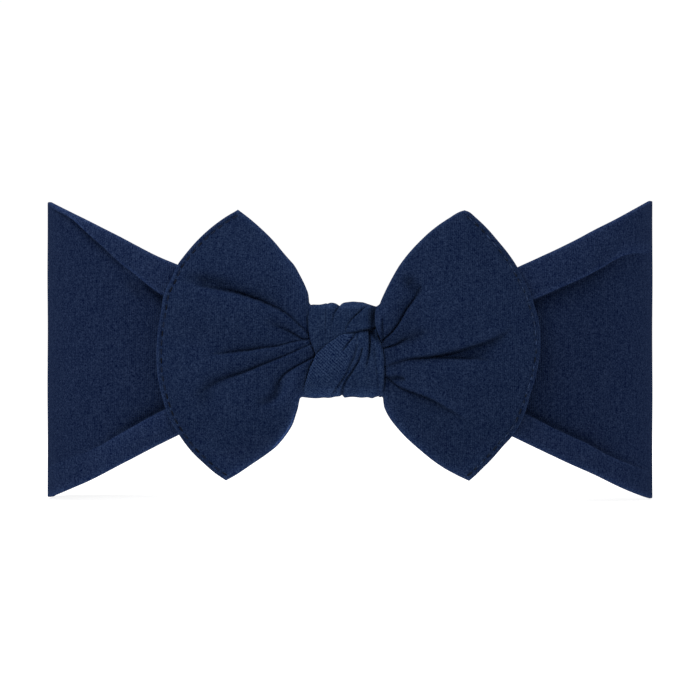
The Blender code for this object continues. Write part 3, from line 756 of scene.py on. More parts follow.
def folds_right(p):
    """The right wing's pleats, from its upper edge down. "below" is the right side of a line that runs up."""
    h = fold(p, [(380.4, 344.4), (383.9, 339.5), (388, 336.4), (393.4, 331.2), (398.1, 325.4), (402.8, 317.3), (406.6, 310.5), (411.3, 304), (415.9, 297.9), (418.4, 293.7), (420.6, 288.8), (421.8, 284)],
             [-0.7, -1.0, -1.3, -1.4, -1.4, -1.2, -0.8, -0.2], [0.4, 0.6, 0.7, 0.8, 0.8, 0.7, 0.4, 0], 2.4, 5.0,
             [0.4, 0.7, 1.0, 1.0, 1.0, 0.9, 0.5, 0], width=[0.24, 0.28, 0.34, 0.38, 0.38, 0.36, 0.40, 0.4])
    h += swell(p, [(402, 276), (410.5, 283), (417.6, 290.7)], [0, -1.4, -1.2], 2.0)
    h += fold(p, [(382.6, 342), (382.4, 337.8), (381.9, 331.2), (381.9, 323), (382.4, 315)],
              [0.3, 0.4, 0.4, 0.25, 0], [-0.6, -0.8, -0.8, -0.5, 0], 1.2, 1.8, [0.4, 0.5, 0.5, 0.3, 0], width=0.24)
    h += fold(p, [(376, 351.8), (384.3, 348.6), (390.5, 346.9), (396.6, 344.7), (402.8, 341), (406.8, 339.2), (411.5, 337.6)],
              [-0.5, -0.6, -0.8, -0.9, -0.9, -0.6, 0], [0.3, 0.4, 0.45, 0.4, 0.3, 0.1, 0], 1.5, 2.8, [0.3, 0.5, 0.7, 0.95, 0.95, 0.5, 0], width=[0.24, 0.24, 0.26, 0.32, 0.44, 0.6, 0.6])
    h += swell(p, [(403, 340.3), (411, 338.2), (419, 335.4), (428, 331.6)], [-0.3, -1.0, -0.9, 0], 1.6)
    # the long pleat: its upper side hangs over, and it opens into a shaded pocket
    h += fold(p, [(376, 367.7), (385.1, 365.8), (390.5, 363.8), (399.6, 360.7), (408.7, 358.5), (419.6, 357.6), (430.5, 356.6), (439.6, 355.2), (456, 351.2), (471.5, 346.3), (489.6, 340), (500, 335), (514, 327)],
              [0.4, 0.5, 0.6, 0.7, 1.0, 1.2, 1.3, 1.4, 1.4, 1.2, 0.9, 0.4, 0], [-0.2, -0.3, -0.4, -0.5, -0.8, -1.1, -1.5, -1.8, -2.0, -1.9, -1.5, -0.6, 0], 5.0, 2.2,
              [0.2, 0.3, 0.4, 0.6, 1.0, 1.45, 1.5, 1.0, 0.4, 0.2, 0.1, 0, 0], width=[0.24, 0.24, 0.26, 0.28, 0.36, 0.42, 0.42, 0.36, 0.28, 0.28, 0.28, 0.28, 0.28])
    h += fold(p, [(434, 357.2), (439.6, 357.7), (454.2, 358.2), (466.9, 358.6), (480.5, 359.3), (492.4, 360), (504, 361)],
              [-0.4, -1.1, -1.5, -1.4, -1.0, -0.5, 0], [0.1, 0.3, 0.35, 0.3, 0.2, 0.1, 0], 2.4, 3.0, [0.2, 0.3, 0.25, 0.15, 0.1, 0, 0])
    h += swell(p, [(440, 356.3), (455, 354.8), (475, 352.4), (497, 348)], [-0.3, -0.8, -0.9, 0], 2.0)
    h += swell(p, [(386, 378), (395, 379), (402, 379.8)], [-0.2, -0.8, -0.5], 1.0)
    h += fold(p, [(380, 371), (387.8, 377), (394.2, 382.8), (400.5, 387.3), (406, 389.3), (421.5, 394.9), (435.1, 400.6), (445.1, 406.5), (455, 412), (466, 419.4), (476, 429)],
              [0.2, 0.3, 0.5, 0.6, 0.7, 0.8, 0.8, 0.7, 0.5, 0.2, 0], [-0.2, -0.5, -0.8, -1.0, -1.1, -1.0, -0.8, -0.6, -0.3, -0.1, 0], 3.6, 4.2,
              [0.1, 0.3, 0.6, 0.55, 0.35, 0.2, 0.08, 0, 0, 0, 0], width=0.30)
    h += fold(p, [(378, 376.6), (386, 376.6), (394, 376.4), (399.6, 376.4), (404.6, 379), (405.2, 383)],
              [0.2, 0.3, 0.35, 0.3, 0.15, 0], [-0.5, -0.9, -1.1, -1.0, -0.8, -0.2], 1.6, 1.2, [0.1, 0.3, 0.35, 0.3, 0.2, 0])
    # the wing dips where it goes in under the knot
    h += fold(p, [(383.6, 394), (384.0, 386), (384.4, 378), (384.5, 366), (384.1, 358), (382.9, 350), (381.1, 344)],
              [0, -0.2, -0.3, -0.3, -0.3, -0.3, -0.2], [0, -0.1, -0.1, -0.1, -0.1, -0.1, 0], 1.6, 0.9,
              [0, 0.3, 0.35, 0.35, 0.35, 0.35, 0.3], width=0.26)
    h += swell(p, [(400, 262), (400, 285), (388, 312), (380, 326)], [0.3, 0.7, 0.9, 0.6], 4.0)
    h += swell(p, [(505, 300), (460, 315), (412, 328)], [0, 0.6, 0.4], 6.5)
    h += swell(p, [(520, 392), (470, 382), (412, 371)], [0, 0.7, 0.5], 5.5)
    h += swell(p, [(478, 450), (440, 428), (402, 405)], [0, 0.5, 0.4], 6.0)
    return h


def painted_light_left(p):
    """Painted light and shade on the left wing: lighter places, and painted shade beside the pleats."""
    light = swell(p, [(276, 412), (287, 395), (296, 378)], [0.05, 0.24, 0.22], 3.2)
    light += shade(p, [(196, 284.8), (204.7, 286.9), (221.1, 290.2), (240.2, 294.7), (260.2, 301.5), (277.3, 309.2), (293.3, 320.1)],
                   [-0.10, -0.24, -0.26, -0.24, -0.22, -0.08, 0], [0, 0.06, 0.09, 0.09, 0.07, 0.05, 0], 2.0, 1.4)
    light += swell(p, [(189, 276.5), (203, 280)], [-0.12, -0.16], 2.0)
    light += swell(p, [(270, 321), (282, 327.5), (293, 334)], [-0.13, -0.24, -0.18], 1.5)
    light += shade(p, [(212, 355.8), (223.8, 354.3), (236.5, 352.4), (249.3, 351), (262, 348.7), (276.5, 346.8)],
                   [0, -0.13, -0.18, -0.16, -0.08, 0], [0, 0.04, 0.06, 0.06, 0.03, 0], 2.2, 1.2)
    light += swell(p, [(203, 391), (216, 383), (229, 377.9), (246, 372.4)], [-0.05, -0.16, -0.16, -0.02], 1.6)
    light += swell(p, [(281.5, 378), (278, 386), (275.6, 394), (262, 402)], [-0.08, -0.22, -0.18, -0.04], 1.3)
    light += swell(p, [(212, 383), (206, 395), (206, 412)], [-0.08, -0.13, -0.04], 2.6)
    light += swell(p, [(172, 322), (205, 325), (232, 330)], [-0.08, -0.12, -0.06], 6.0)
    light += swell(p, [(303, 288), (292, 268), (272, 247)], [0.15, 0.17, 0.08], 5.0)
    return light + swell(p, [(240, 472), (218, 465), (200, 450)], [0.18, 0.22, 0.08], 4.5)


def painted_light_right(p):
    # Painted light and shade on the right wing, as on the left.
    light = swell(p, [(402, 276), (410.5, 283), (417, 290)], [-0.06, -0.24, -0.18], 1.7)
    light += swell(p, [(404, 339.8), (411, 338), (419, 335), (428, 331.4)], [-0.10, -0.20, -0.18, -0.06], 1.4)
    # painted shade in the pocket under the long pleat, and a painted highlight on its lid
    lid = [(430.5, 356.6), (439.6, 355.2), (456, 351.2), (471.5, 346.3), (489.6, 340), (504, 333)]
    sill = [(424, 357.6), (439.6, 358), (454.2, 358.2), (466.9, 358.6), (480.5, 359.3), (492.4, 360), (512, 361.5)]
    inside = ease(0.5 - to_line(p, line(sill, np.linspace(0, 1, 40)))[0] / 1.6)
    light += shade(p, lid, [0.05, 0.07, 0.07, 0.07, 0.05, 0], [0, -0.04, -0.14, -0.16, -0.12, 0], 1.0, 3.2) * inside
    # painted highlight above the last pleat and painted shade on its lower side
    light += shade(p, [(398, 386), (406, 389.3), (421.5, 394.9), (435.1, 400.6), (445.1, 406.5), (455, 412), (468, 421)],
                   [0, 0.14, 0.24, 0.26, 0.22, 0.14, 0], [-0.08, -0.21, -0.29, -0.28, -0.22, -0.11, 0], 1.0, 4.4)
    light += swell(p, [(389, 412), (399, 427), (418, 444)], [0.06, 0.08, 0.04], 3.0)
    light += swell(p, [(404, 359.4), (414, 358.2), (424, 357.4), (434, 356.4), (442, 354.8)], [-0.06, -0.26, -0.40, -0.36, -0.10], 0.40)
    light += swell(p, [(386.5, 367), (388, 372)], [0.25, 0.25], 1.6)
    return light + swell(p, [(466, 474), (484, 462), (500, 446)], [0.18, 0.20, 0.06], 4.0)


def wing(side, sign, edges, folds, painted_light, edge_painted_light, root_reach):
    """Builds one wing's front and back layers and its hem stitches."""
    nu, nv = 200, 330
    u = np.linspace(0, 1, nu)
    u = 0.45 * u + 0.55 * ease(u)  # finer towards the knot and the hem
    v = np.linspace(0, 1, nv)
    upper, lower = line(edges["upper"], u), line(edges["lower"], u)
    hem, inner = line(edges["hem"], v), line(edges["inner"], v)
    U, V = u[:, None, None], v[None, :, None]
    corner = lower[0], lower[-1], upper[0], upper[-1]
    ruled = (
        (1 - U) * (1 - V) * corner[0]
        + U * (1 - V) * corner[1]
        + (1 - U) * V * corner[2]
        + U * V * corner[3]
    )
    p = (
        (1 - V) * lower[:, None, :]
        + V * upper[:, None, :]
        + (1 - U) * inner[None]
        + U * hem[None]
        - ruled
    )
    uu, t = np.broadcast_to(u[:, None], (nu, nv)), 2 * v[None, :] - 1
    hem_d = np.abs(to_line(p, line(edges["hem"], np.linspace(0, 1, 120)))[0]) * 0.3
    up_d = np.abs(to_line(p, line(edges["upper"], np.linspace(0, 1, 70)))[0]) * 0.3
    low_d = np.abs(to_line(p, line(edges["lower"], np.linspace(0, 1, 70)))[0]) * 0.3
    # front layer: round where it leaves the knot, then a shallow crown that falls to its edges
    root_z = (350 - inner[None, :, 1]) * 0.3
    root = -2.1 + root_reach(root_z) * np.sqrt(np.clip(1 - (root_z / 14.6) ** 2, 0.02, 1))
    middle = 0.6 + 4.3 * np.sin(math.pi * uu) ** 0.7 * np.clip(1 - np.abs(t) ** 2.4, 0, 1) ** 0.6
    w = ease(uu / 0.45)
    crown = (1 - w) * root + w * middle
    pleats = soften(folds(p) * (0.25 + 0.75 * ease(np.minimum(up_d, low_d) / 3.0)), 1)
    uneven = 0.30 * ripple(p[..., 0] * 0.3, p[..., 1] * 0.3, 5 + (sign > 0), 17.0)
    edge = np.minimum(np.minimum(hem_d, up_d), low_d)
    free = ease((uu - 0.05) / 0.13)  # held flat beside the knot
    away = ease(hem_d / 6.0)
    pleats = pleats * away
    # topstitching: dashes 1.5 mm in from the hem, each in its own dent, and nearer the edge on the right
    pitch, dash = 2.7, 1.9
    drift = ease((hem[:, 1] - 335) / 12) * ease((412 - hem[:, 1]) / 14) if sign > 0 else np.zeros(nv)
    sewn = 1.5 - 0.24 * drift
    inset = 0.3 * np.array(
        [[np.interp(-sewn[j], -hem_d[:, j], p[:, j, k]) for k in range(2)] for j in range(nv)]
    )
    run_s = np.r_[0, np.cumsum(np.linalg.norm(np.diff(inset, axis=0), axis=1))]
    phase = np.mod(run_s - 1.2, pitch)
    pulled = ease(np.minimum(phase, dash - phase) / 0.35 + 0.3)[None, :]
    deep = (0.07, 0.24) if sign < 0 else (0.20, 0.10)
    seam = (deep[0] + deep[1] * pulled) * np.exp(-(((hem_d - sewn[None, :]) / 0.40) ** 2))
    rim = 0.18 * np.exp(-(((hem_d - 0.72) / 0.40) ** 2))
    rolled = 0.60 * np.clip(1 - edge / 0.75, 0, 1) ** 2 * free
    puff = 0.30 * np.exp(-(((np.minimum(up_d, low_d) - 1.0) / 0.9) ** 2)) * free
    mid = BOW_Y + 3.0 * uu**2
    wave = 0.5 * np.sin(2 * math.pi * (1.6 * v[None, :] + 0.15)) * uu**2
    y = mid + wave - crown - pleats - uneven * ease(edge / 2.0) + seam - rim - puff + rolled
    x, z = at_depth(p[..., 0], p[..., 1], y)
    shown = np.stack([x, y, z], -1)
    knit = np.stack([x, z], -1)
    # painted sheen makes the edges lighter, and painted light lifts the cloth that turns away towards the inner ones
    fuzz_and_painted_light = 0.45 * np.exp(-((edge / 0.42) ** 2)) * free
    tone = 1.0 + fuzz_and_painted_light
    # painted light along the upper and lower edges, more on the lower one, which the light from above leaves dark
    for share, d in zip(edge_painted_light, (up_d, low_d)):
        tone = tone + share * (0.65 * np.exp(-((d / 1.35) ** 2)) + 0.35 * np.exp(-d / 1.6))
    if sign < 0:  # the turned edge low on the inner side catches the light
        turned = 2.3 * np.exp(-(((low_d - 0.50) / 0.30) ** 2)) + 0.15 * np.exp(-low_d / 1.5)
        tone = tone + turned * ease((p[..., 0] - 269) / 8) * ease((298 - p[..., 0]) / 8)
    # the wing's painted light and shade, and painted shade in the pleats' hollows
    tone = (tone + painted_light(p)) * (1 - 0.22 * hollow(pleats, 0.9))
    face = grid_mesh(f"bow_{side}_front", shown, knit, tone, flip=sign < 0)
    thicken(face, CLOTH_T)

    # back layer: shallower, with the same pleats pressed the other way
    step = slice(None, None, 2)
    pb = p[step, step]
    root_b = 2.3 + 1.5 * np.sqrt(np.clip(1 - (root_z / 14.6) ** 2, 0.02, 1))
    middle_b = 1.1 + 1.9 * np.sin(math.pi * uu) ** 0.8 * np.clip(1 - np.abs(t) ** 2.4, 0, 1) ** 0.6
    crown_b = (1 - w) * root_b + w * middle_b
    back_pleats = soften(
        0.8 * np.sin(2 * math.pi * (4.6 * v[None, :] + 0.2)) * (1 - uu) ** 1.3 * (uu > 0)
        + 0.35 * np.sin(2 * math.pi * (7.5 * v[None, :] + 0.6)) * (1 - uu) ** 2.2, 1
    ) * ease(np.minimum(up_d, low_d) / 4.0) * ease(uu / 0.12)
    yb = mid + wave + crown_b + back_pleats * 0.7 - seam * 0.8 + rim * 0.6 + puff * 0.6 - rolled
    xb, zb = at_depth(p[..., 0], p[..., 1], yb)
    hidden = np.stack([xb, yb, zb], -1)
    back = grid_mesh(
        f"bow_{side}_back", hidden[step, step], np.stack([xb, zb], -1)[step, step], tone[step, step], flip=sign > 0
    )
    thicken(back, CLOTH_T)

    # stitches on both layers
    runs = []
    for surface, outward in ((shown, -1.0), (hidden, 1.0)):
        path = np.array(
            [
                [np.interp(-sewn[j], -hem_d[:, j], surface[:, j, k]) for k in range(3)]
                for j in range(nv)
            ]
        )
        first = 1.2
        while first + dash + 0.8 < run_s[-1]:
            f = np.linspace(0, 1, 9)
            where = first + dash * f
            run = np.stack([np.interp(where, run_s, path[:, k]) for k in range(3)], -1)
            sunk = 0.16 if sign < 0 else 0.06 + 0.14 * np.interp(first + dash / 2, run_s, drift)
            run[:, 1] += outward * (0.22 * np.sin(math.pi * f) ** 0.6 - sunk)
            runs.append(run)
            first += pitch
    thread = stitches(f"bow_{side}_hem_stitches", runs, 0.24)
    for obj in (face, back):
        obj.data.materials.append(bow_cloth)
    # the right hem's stitches get the lighter thread colour: painted light
    thread.data.materials.append(sewing if sign < 0 else lit_sewing)
    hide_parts(f"bow_{side}_front_layer")
    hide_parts(f"bow_{side}_back_layer")
    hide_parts(f"bow_{side}_hem_thread")
    body = f"{side}_wing"
    for obj in (face, back):
        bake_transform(obj)
    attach(thread, body)
    return face, back, thread


left_front, left_back, left_thread = wing("left", -1, LEFT, folds_left, painted_light_left, (0.40, 0.80), lambda z: 7.0 + 0 * z)
right_front, right_back, right_thread = wing(
    "right", 1, RIGHT, folds_right, painted_light_right, (0.14, 0.65), lambda z: 7.0 + 2.9 * ease((z - 1.5) / 4.0)
)

# ------------------------------------------------------------------ the knot
KNOT_D, KNOT_H = 8.6, 13.7  # half depth and half height of the wrapped strip, before its folds
KNOT_ROUND = 2.3
angles = np.linspace(-math.pi, math.pi, 2401)


def knot_section(a):
    """(y, z) round the knot before its folds: angle 0 faces the front, plus is up."""
    c, s = np.cos(a), np.sin(a)
    e = 2 / KNOT_ROUND
    return (
        KNOT_Y - KNOT_D * np.sign(c) * np.abs(c) ** e,
        KNOT_H * np.sign(s) * np.abs(s) ** e,
    )


ky, kz = knot_section(angles)
girth = np.r_[0, np.cumsum(np.hypot(np.diff(ky), np.diff(kz)))]
girth -= np.interp(0.0, angles, girth)


def lay(points):
    """Front-view points laid on the knot: (x, distance round it from the front's middle, upwards), both in mm."""
    out = []
    front_half = np.abs(angles) <= math.pi / 2
    for px, py in points:
        z = (350.0 - py) * 0.3
        if abs(z) < 13.6:
            g = np.interp(z, kz[front_half], girth[front_half])
        else:  # past the top or the bottom, on round the back
            edge = np.interp(math.copysign(math.pi / 2, z), angles, girth)
            g = edge + math.copysign(abs(z) - 13.6, z)
        out.append(((px - 350.0) * 0.3, g))
    return out


# Where the two front strands cross, from left to right.
CROSS = lay([(304, 363), (311, 358.5), (315.4, 354.9), (318.3, 351.8), (323, 347.7), (327, 344.2), (333, 340.2), (339.3, 336.2), (347, 333.4), (352.7, 332.7), (359.4, 331), (366, 329.5), (371.4, 327.6), (376, 326), (390, 322)])
KNOT_LEFT_EDGE = lay([(309, 294), (308.9, 306), (308.1, 318), (308.5, 330), (309.9, 339), (312.4, 346.4), (315.9, 354.8), (312.9, 361.9), (310.1, 367.6), (308, 374.3), (305.8, 382), (303, 390.6), (301, 396), (300.4, 400), (301, 408)])
KNOT_RIGHT_EDGE = lay([(381, 294), (380.5, 306), (379, 318), (377, 328), (378.4, 336), (380.8, 342), (383, 350), (384.1, 358), (384.3, 370), (384, 386), (383.4, 395), (383.2, 408)])
CROSS_LINE = line(CROSS, np.linspace(0, 1, 90))


def knot_folds(q):
    """Heights of the knot's folds at (x, girth) points; girth runs up, so it is turned over to run down as a picture does."""
    p = np.stack([q[..., 0], -q[..., 1]], -1)

    def f(points, above, below, wa, wb, slit):
        path = np.array([(x, -g) for x, g in lay(points)])
        return fold(p, path, above, below, wa, wb, [0.4 * slit, 1.5 * slit, 1.5 * slit, slit], unit=1.0, lip=0.30, width=0.20)

    def s(points, height, width):
        path = np.array([(x, -g) for x, g in lay(points)])
        return swell(p, path, height, width, unit=1.0)

    # upper strand: rolls that sweep down to the crossing; "below" is the right side of a line that runs up
    h = f([(326.4, 342), (326, 326), (326, 309), (327, 296), (326, 285)],
          [0, 0.08, 0.12, 0.15, 0.1], [0, -0.08, -0.15, -0.2, -0.15], 1.2, 0.8, slit=0.12)
    h += f([(332.0, 329), (332.7, 322.5), (333.8, 317.6), (335.2, 312.7), (337.7, 308.5), (341.8, 304.5), (347, 297.5), (353, 285.5)],
           [0, -0.3, -0.45, -0.5, -0.6, -0.7, -0.7, -0.5], [0, 0.2, 0.35, 0.5, 0.55, 0.5, 0.4, 0.3], 0.7, 2.6, slit=0.45)
    h += f([(345.6, 334.4), (346.9, 328), (350.4, 321.7), (354.6, 316.8), (359.6, 312.5), (364.6, 308.2), (369, 305.6), (378, 299), (385, 289)],
           [-0.2, -0.4, -0.45, -0.5, -0.5, -0.5, -0.5, -0.4], [0.1, 0.3, 0.4, 0.45, 0.45, 0.4, 0.3, 0.2], 0.6, 2.0, slit=0.50)
    # the right end goes in under the wing
    h += s([(377.4, 300), (376, 309), (374.4, 318), (374.2, 327)], [-0.7, -1.9, -2.1, -1.5], 1.3)
    # the left end is drawn down at the top, and the rolls stand up there
    h += s([(306, 290), (307, 300), (308.6, 307), (309, 316)], [-0.5, -0.5, -0.3, 0], 1.2)
    h += s([(318, 285), (318, 297), (318, 306), (318, 314)], [-0.25, -0.25, -0.2, 0], 2.0)
    h += s([(331, 285), (331, 297), (331, 306), (330, 314)], [0.5, 0.5, 0.35, 0], 1.7)
    h += s([(340, 285), (340, 297), (340, 306), (338, 314)], [-0.5, -0.5, -0.3, 0], 0.8)
    h += s([(353, 285), (354, 297), (354, 306), (352, 314)], [0.6, 0.6, 0.4, 0], 2.2)
    h += s([(363, 285), (363, 297), (362, 306), (360, 314)], [0.3, 0.3, 0.2, 0], 1.2)
    h += s([(370, 285), (370, 297), (370, 306), (368, 314)], [-0.2, -0.2, -0.1, 0], 1.2)
    h += s([(318, 318), (319, 330), (320, 342)], [0.3, 0.4, 0.0], 2.4)
    return h


def knot_folds_lower(q):
    p = np.stack([q[..., 0], -q[..., 1]], -1)

    def f(points, above, below, wa, wb, slit):
        path = np.array([(x, -g) for x, g in lay(points)])
        return fold(p, path, above, below, wa, wb, [0.6 * slit, 1.5 * slit, 1.5 * slit, slit], unit=1.0, lip=0.30, width=0.22)

    def s(points, height, width):
        path = np.array([(x, -g) for x, g in lay(points)])
        return swell(p, path, height, width, unit=1.0)

    h = f([(343.4, 350.6), (345.4, 347.9), (349, 342.9), (353.3, 337.9), (356, 331.6)],
          [-0.1, -0.3, -0.4, -0.4, -0.3], [0.1, 0.25, 0.4, 0.4, 0.3], 0.7, 1.4, slit=0.50)
    h += f([(357.4, 342), (357.6, 337), (357.9, 330)], [0, 0.1, 0.15], [0, -0.15, -0.25], 0.8, 0.5, slit=0.30)
    # a narrow roll between two lines
    h += f([(329.4, 398), (335.5, 388), (339.1, 383.7), (344.1, 376.6), (347.7, 370.1), (349.8, 365.1), (352.7, 359.4), (355.5, 352.3), (357.4, 345)],
           [0.1, 0.25, 0.3, 0.3, 0.3, 0.25, 0.15, 0.0], [-0.1, -0.2, -0.2, -0.2, -0.2, -0.2, -0.15, 0], 1.6, 0.5, slit=0.52)
    h += f([(342.6, 408), (342.6, 395.1), (343.0, 389.4), (344.5, 383.7), (346.7, 379.5), (350.2, 374.6), (354.5, 368.2), (358.8, 361.1), (360.9, 355.3), (362.3, 349)],
           [-0.4, -0.5, -0.5, -0.5, -0.5, -0.5, -0.4, -0.3, 0], [0.4, 0.5, 0.5, 0.5, 0.5, 0.4, 0.35, 0.25, 0], 0.5, 2.4, slit=0.85)
    h += s([(336.5, 394), (341.4, 384.8), (346.6, 377.2), (350.8, 370.2), (355, 362.7)], [0.25, 0.35, 0.35, 0.3, 0.1], 0.5)
    h += f([(366.0, 367), (367.2, 360.9), (368.7, 353.7), (369.1, 348), (369.6, 338), (368.8, 328)],
           [0.1, 0.3, 0.35, 0.35, 0.3, 0.2], [-0.1, -0.5, -0.8, -1.0, -1.2, -1.2], 1.5, 0.9, slit=0.65)
    h += f([(378.4, 408), (378.4, 390.1), (378.0, 376.6), (376.6, 368), (375.9, 359.4), (374.7, 350), (372.5, 342)],
           [-0.1, -0.15, -0.15, -0.15, -0.15, -0.1, 0], [0.1, 0.12, 0.12, 0.12, 0.12, 0.1, 0], 0.8, 1.4, slit=0.16)
    h += s([(371.5, 327), (373.5, 332), (376.5, 337), (379.5, 341.5)], [-1.2, -1.5, -1.4, -0.6], 0.9)
    h += s([(312, 396), (325, 376), (340, 352), (347, 340)], [0.2, 0.7, 0.7, 0.3], 3.6)
    h += s([(362, 398), (362, 380), (364, 352), (363, 336)], [0.3, 0.5, 0.4, 0.0], 2.0)
    # the lower edge: nearly level, with a small pucker beside the roll
    h += s([(316, 412), (316, 400), (318, 392)], [0.4, 0.35, 0], 3.0)
    h += s([(330, 412), (330, 400), (331, 394)], [0.5, 0.45, 0], 1.3)
    h += s([(372, 412), (372, 400), (372, 392)], [0.6, 0.55, 0], 1.0)
    h += s([(379, 412), (379, 400), (379, 392)], [0.2, 0.15, 0], 1.2)
    return h


def strand(name, rows, columns, lower_of, upper_of, shape, knit_of, tone_of, taut_of, replaces):
    """One strand of the knot: from the girth lower_of(x) to upper_of(x), between the knot's two ends."""
    b = np.linspace(0, 1, rows)
    b = 0.5 - 0.5 * np.cos(math.pi * b) * 0.35 - (0.5 - b) * 0.65  # finer towards both ends
    b = (b - b[0]) / (b[-1] - b[0])
    a = np.linspace(0, 1, columns)
    a = a + 0.10 * np.sin(2 * math.pi * a) * -1
    left = np.array([(g, x) for x, g in KNOT_LEFT_EDGE])[::-1]
    right = np.array([(g, x) for x, g in KNOT_RIGHT_EDGE])[::-1]
    x = np.broadcast_to((-12.6 + a * 22.6)[:, None], (columns, rows)).copy()
    for _ in range(3):  # the ends depend on the girth and the girth on x
        g = lower_of(x) + b[None, :] * (upper_of(x) - lower_of(x))
        xl = np.interp(g, left[:, 0], left[:, 1])
        xr = np.interp(g, right[:, 0], right[:, 1])
        x = xl + a[:, None] * (xr - xl)
    g = lower_of(x) + b[None, :] * (upper_of(x) - lower_of(x))
    q = np.stack([x, g], -1)
    height = shape(q)
    end = np.minimum(x - xl, xr - x)
    # painted shade in the strand's hollows
    crease_shade = hollow(height, 0.8, 50)
    height = height - 1.0 * np.clip(1 - end / 0.8, 0, 1) ** 2  # turned in at both ends
    angle = np.interp(g, girth, angles)
    y0, z0 = knot_section(angle)
    dy, dz = knot_section(angle + 0.01)
    ty, tz = dy - y0, dz - z0
    size = np.hypot(ty, tz)
    ny, nz = -tz / size, ty / size  # outwards
    y, z = y0 + ny * height, z0 + nz * height
    # front-view places hold at the depth each point has
    reach_ = (y - CAM_Y) / (0.3 * FOCAL)
    points = np.stack([x * reach_, y, ZC + z * reach_], -1)
    # painted light on the strand's turned-in ends and along its top and bottom rims, where it turns away from the lamps
    rim = 0.12 * np.exp(-((end / 0.4) ** 2)) + 0.3 * ease((z - 11.9) / 1.4) + 0.22 * ease((-10.3 - z) / 2.0) + 0.4 * ease((-12.7 - z) / 0.8)
    obj = grid_mesh(name, points, knit_of(q), (tone_of(q) + rim) * (1 - 0.3 * crease_shade), taut=taut_of(q))
    thicken(obj, CLOTH_T)
    obj.data.materials.append(knot_cloth)
    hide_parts(*replaces)
    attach(obj, "front")
    return obj


def cross_at(x):
    return np.interp(x, CROSS_LINE[:, 0], CROSS_LINE[:, 1])


TOP_GIRTH = float(np.interp(math.pi / 2, angles, girth))
REAR_GIRTH = float(girth[-1])
OVER = 5.8 * 0.3  # x where the upper strand starts to lie over the lower one


def over_right(x):
    """0 on the left, where the lower strand lies on top; 1 on the right, where the upper one does."""
    return ease((x + 4.2) / 3.4)


def gap_at(x):
    """How open the crossing is along x: nearly closed left of its middle, and deepest at the right end."""
    return np.interp(x, [-11.0, -9.3, -7.8, -5.7, -3.9, -2.7, -0.6, 1.2, 3.0, 4.8, 6.3, 8.0], [0.7, 0.5, 0.3, 0.08, 0.15, 0.3, 0.42, 0.55, 0.7, 1.0, 1.4, 1.5])


def upper_shape(q):
    x, g = q[..., 0], q[..., 1]
    d = g - cross_at(x)  # above the crossing
    right, gap = over_right(x), gap_at(x)
    h = soften(knot_folds(q), 1)
    under = (1 - right) * (-0.9 * gap * np.exp(-np.maximum(d, 0) / 0.7) - 1.3 * ease(-d / 0.8))
    lip = right * ((0.15 + 0.35 * gap) * np.exp(-np.maximum(d, 0) / 2.8) - (0.25 + 1.0 * gap) * np.clip(1 - d / 0.42, 0, 1.3) ** 2)
    return 0.15 + h + under + lip + 0.10 * ripple(x, g, 21, 7.0)


def lower_shape(q):
    x, g = q[..., 0], q[..., 1]
    d = cross_at(x) - g  # below the crossing
    right, gap = over_right(x), gap_at(x)
    h = soften(knot_folds_lower(q), 1)
    under = right * (-1.2 * gap * np.exp(-np.maximum(d, 0) / 1.0) - 1.3 * ease(-d / 0.8))
    lip = (1 - right) * ((0.15 + 0.45 * gap) * np.exp(-np.maximum(d, 0) / 3.2) - (0.15 + 0.9 * gap) * np.clip(1 - d / 0.42, 0, 1.3) ** 2)
    return 0.25 + h + under + lip + 0.10 * ripple(x, g, 22, 7.0)


def rear_shape(q):
    x, g = q[..., 0], q[..., 1]
    waves = 0.45 * np.sin(x / 22.0 * 2 * math.pi * 3.2 + 0.9 + 0.08 * g) + 0.25 * np.sin(x / 22.0 * 2 * math.pi * 6.1 + 2.0)
    return -0.1 + waves * 0.8 + 0.12 * ripple(x, g, 23, 8.0)


def upright(q):
    return np.stack([q[..., 0], q[..., 1]], -1)


def slanted(q):
    """The ribs turn with the slanting panel on the left and run down the right side."""
    turn = math.radians(48) * (1 - ease((q[..., 0] + 2.0) / 5.0))
    c, s = np.cos(turn), np.sin(turn)
    return np.stack([q[..., 0] * c + q[..., 1] * s, q[..., 1] * c - q[..., 0] * s], -1)


def upper_tone(q):
    """Painted shade where the upper strand goes in under the wing, and painted highlights along one side of its rolls.
    """
    p = np.stack([q[..., 0], -q[..., 1]], -1)

    def path(points):
        return np.array([(x, -g) for x, g in lay(points)])

    tone = 0.83 - 0.45 * swell(p, path([(378, 304), (376.4, 311), (374.6, 318), (374.2, 327)]), [0.6, 1.0, 1.0, 0.9], 1.1, unit=1.0)
    tone += shade(p, path([(332.7, 322.5), (333.8, 317.6), (335.2, 312.7), (337.7, 308.5), (341.8, 304.5)]), [0, 0, 0.05, 0.1, 0.1], [0.05, 0.1, 0.12, 0.15, 0.1], 0.6, 0.9, unit=1.0)
    return tone + shade(p, path([(346.9, 328), (350.4, 321.7), (354.6, 316.8), (359.6, 312.5), (364.6, 308.2), (369, 305.6)]), [0, 0, 0, 0, 0, 0], [0.05, 0.06, 0.10, 0.14, 0.16, 0.1], 0.6, 0.6, unit=1.0)


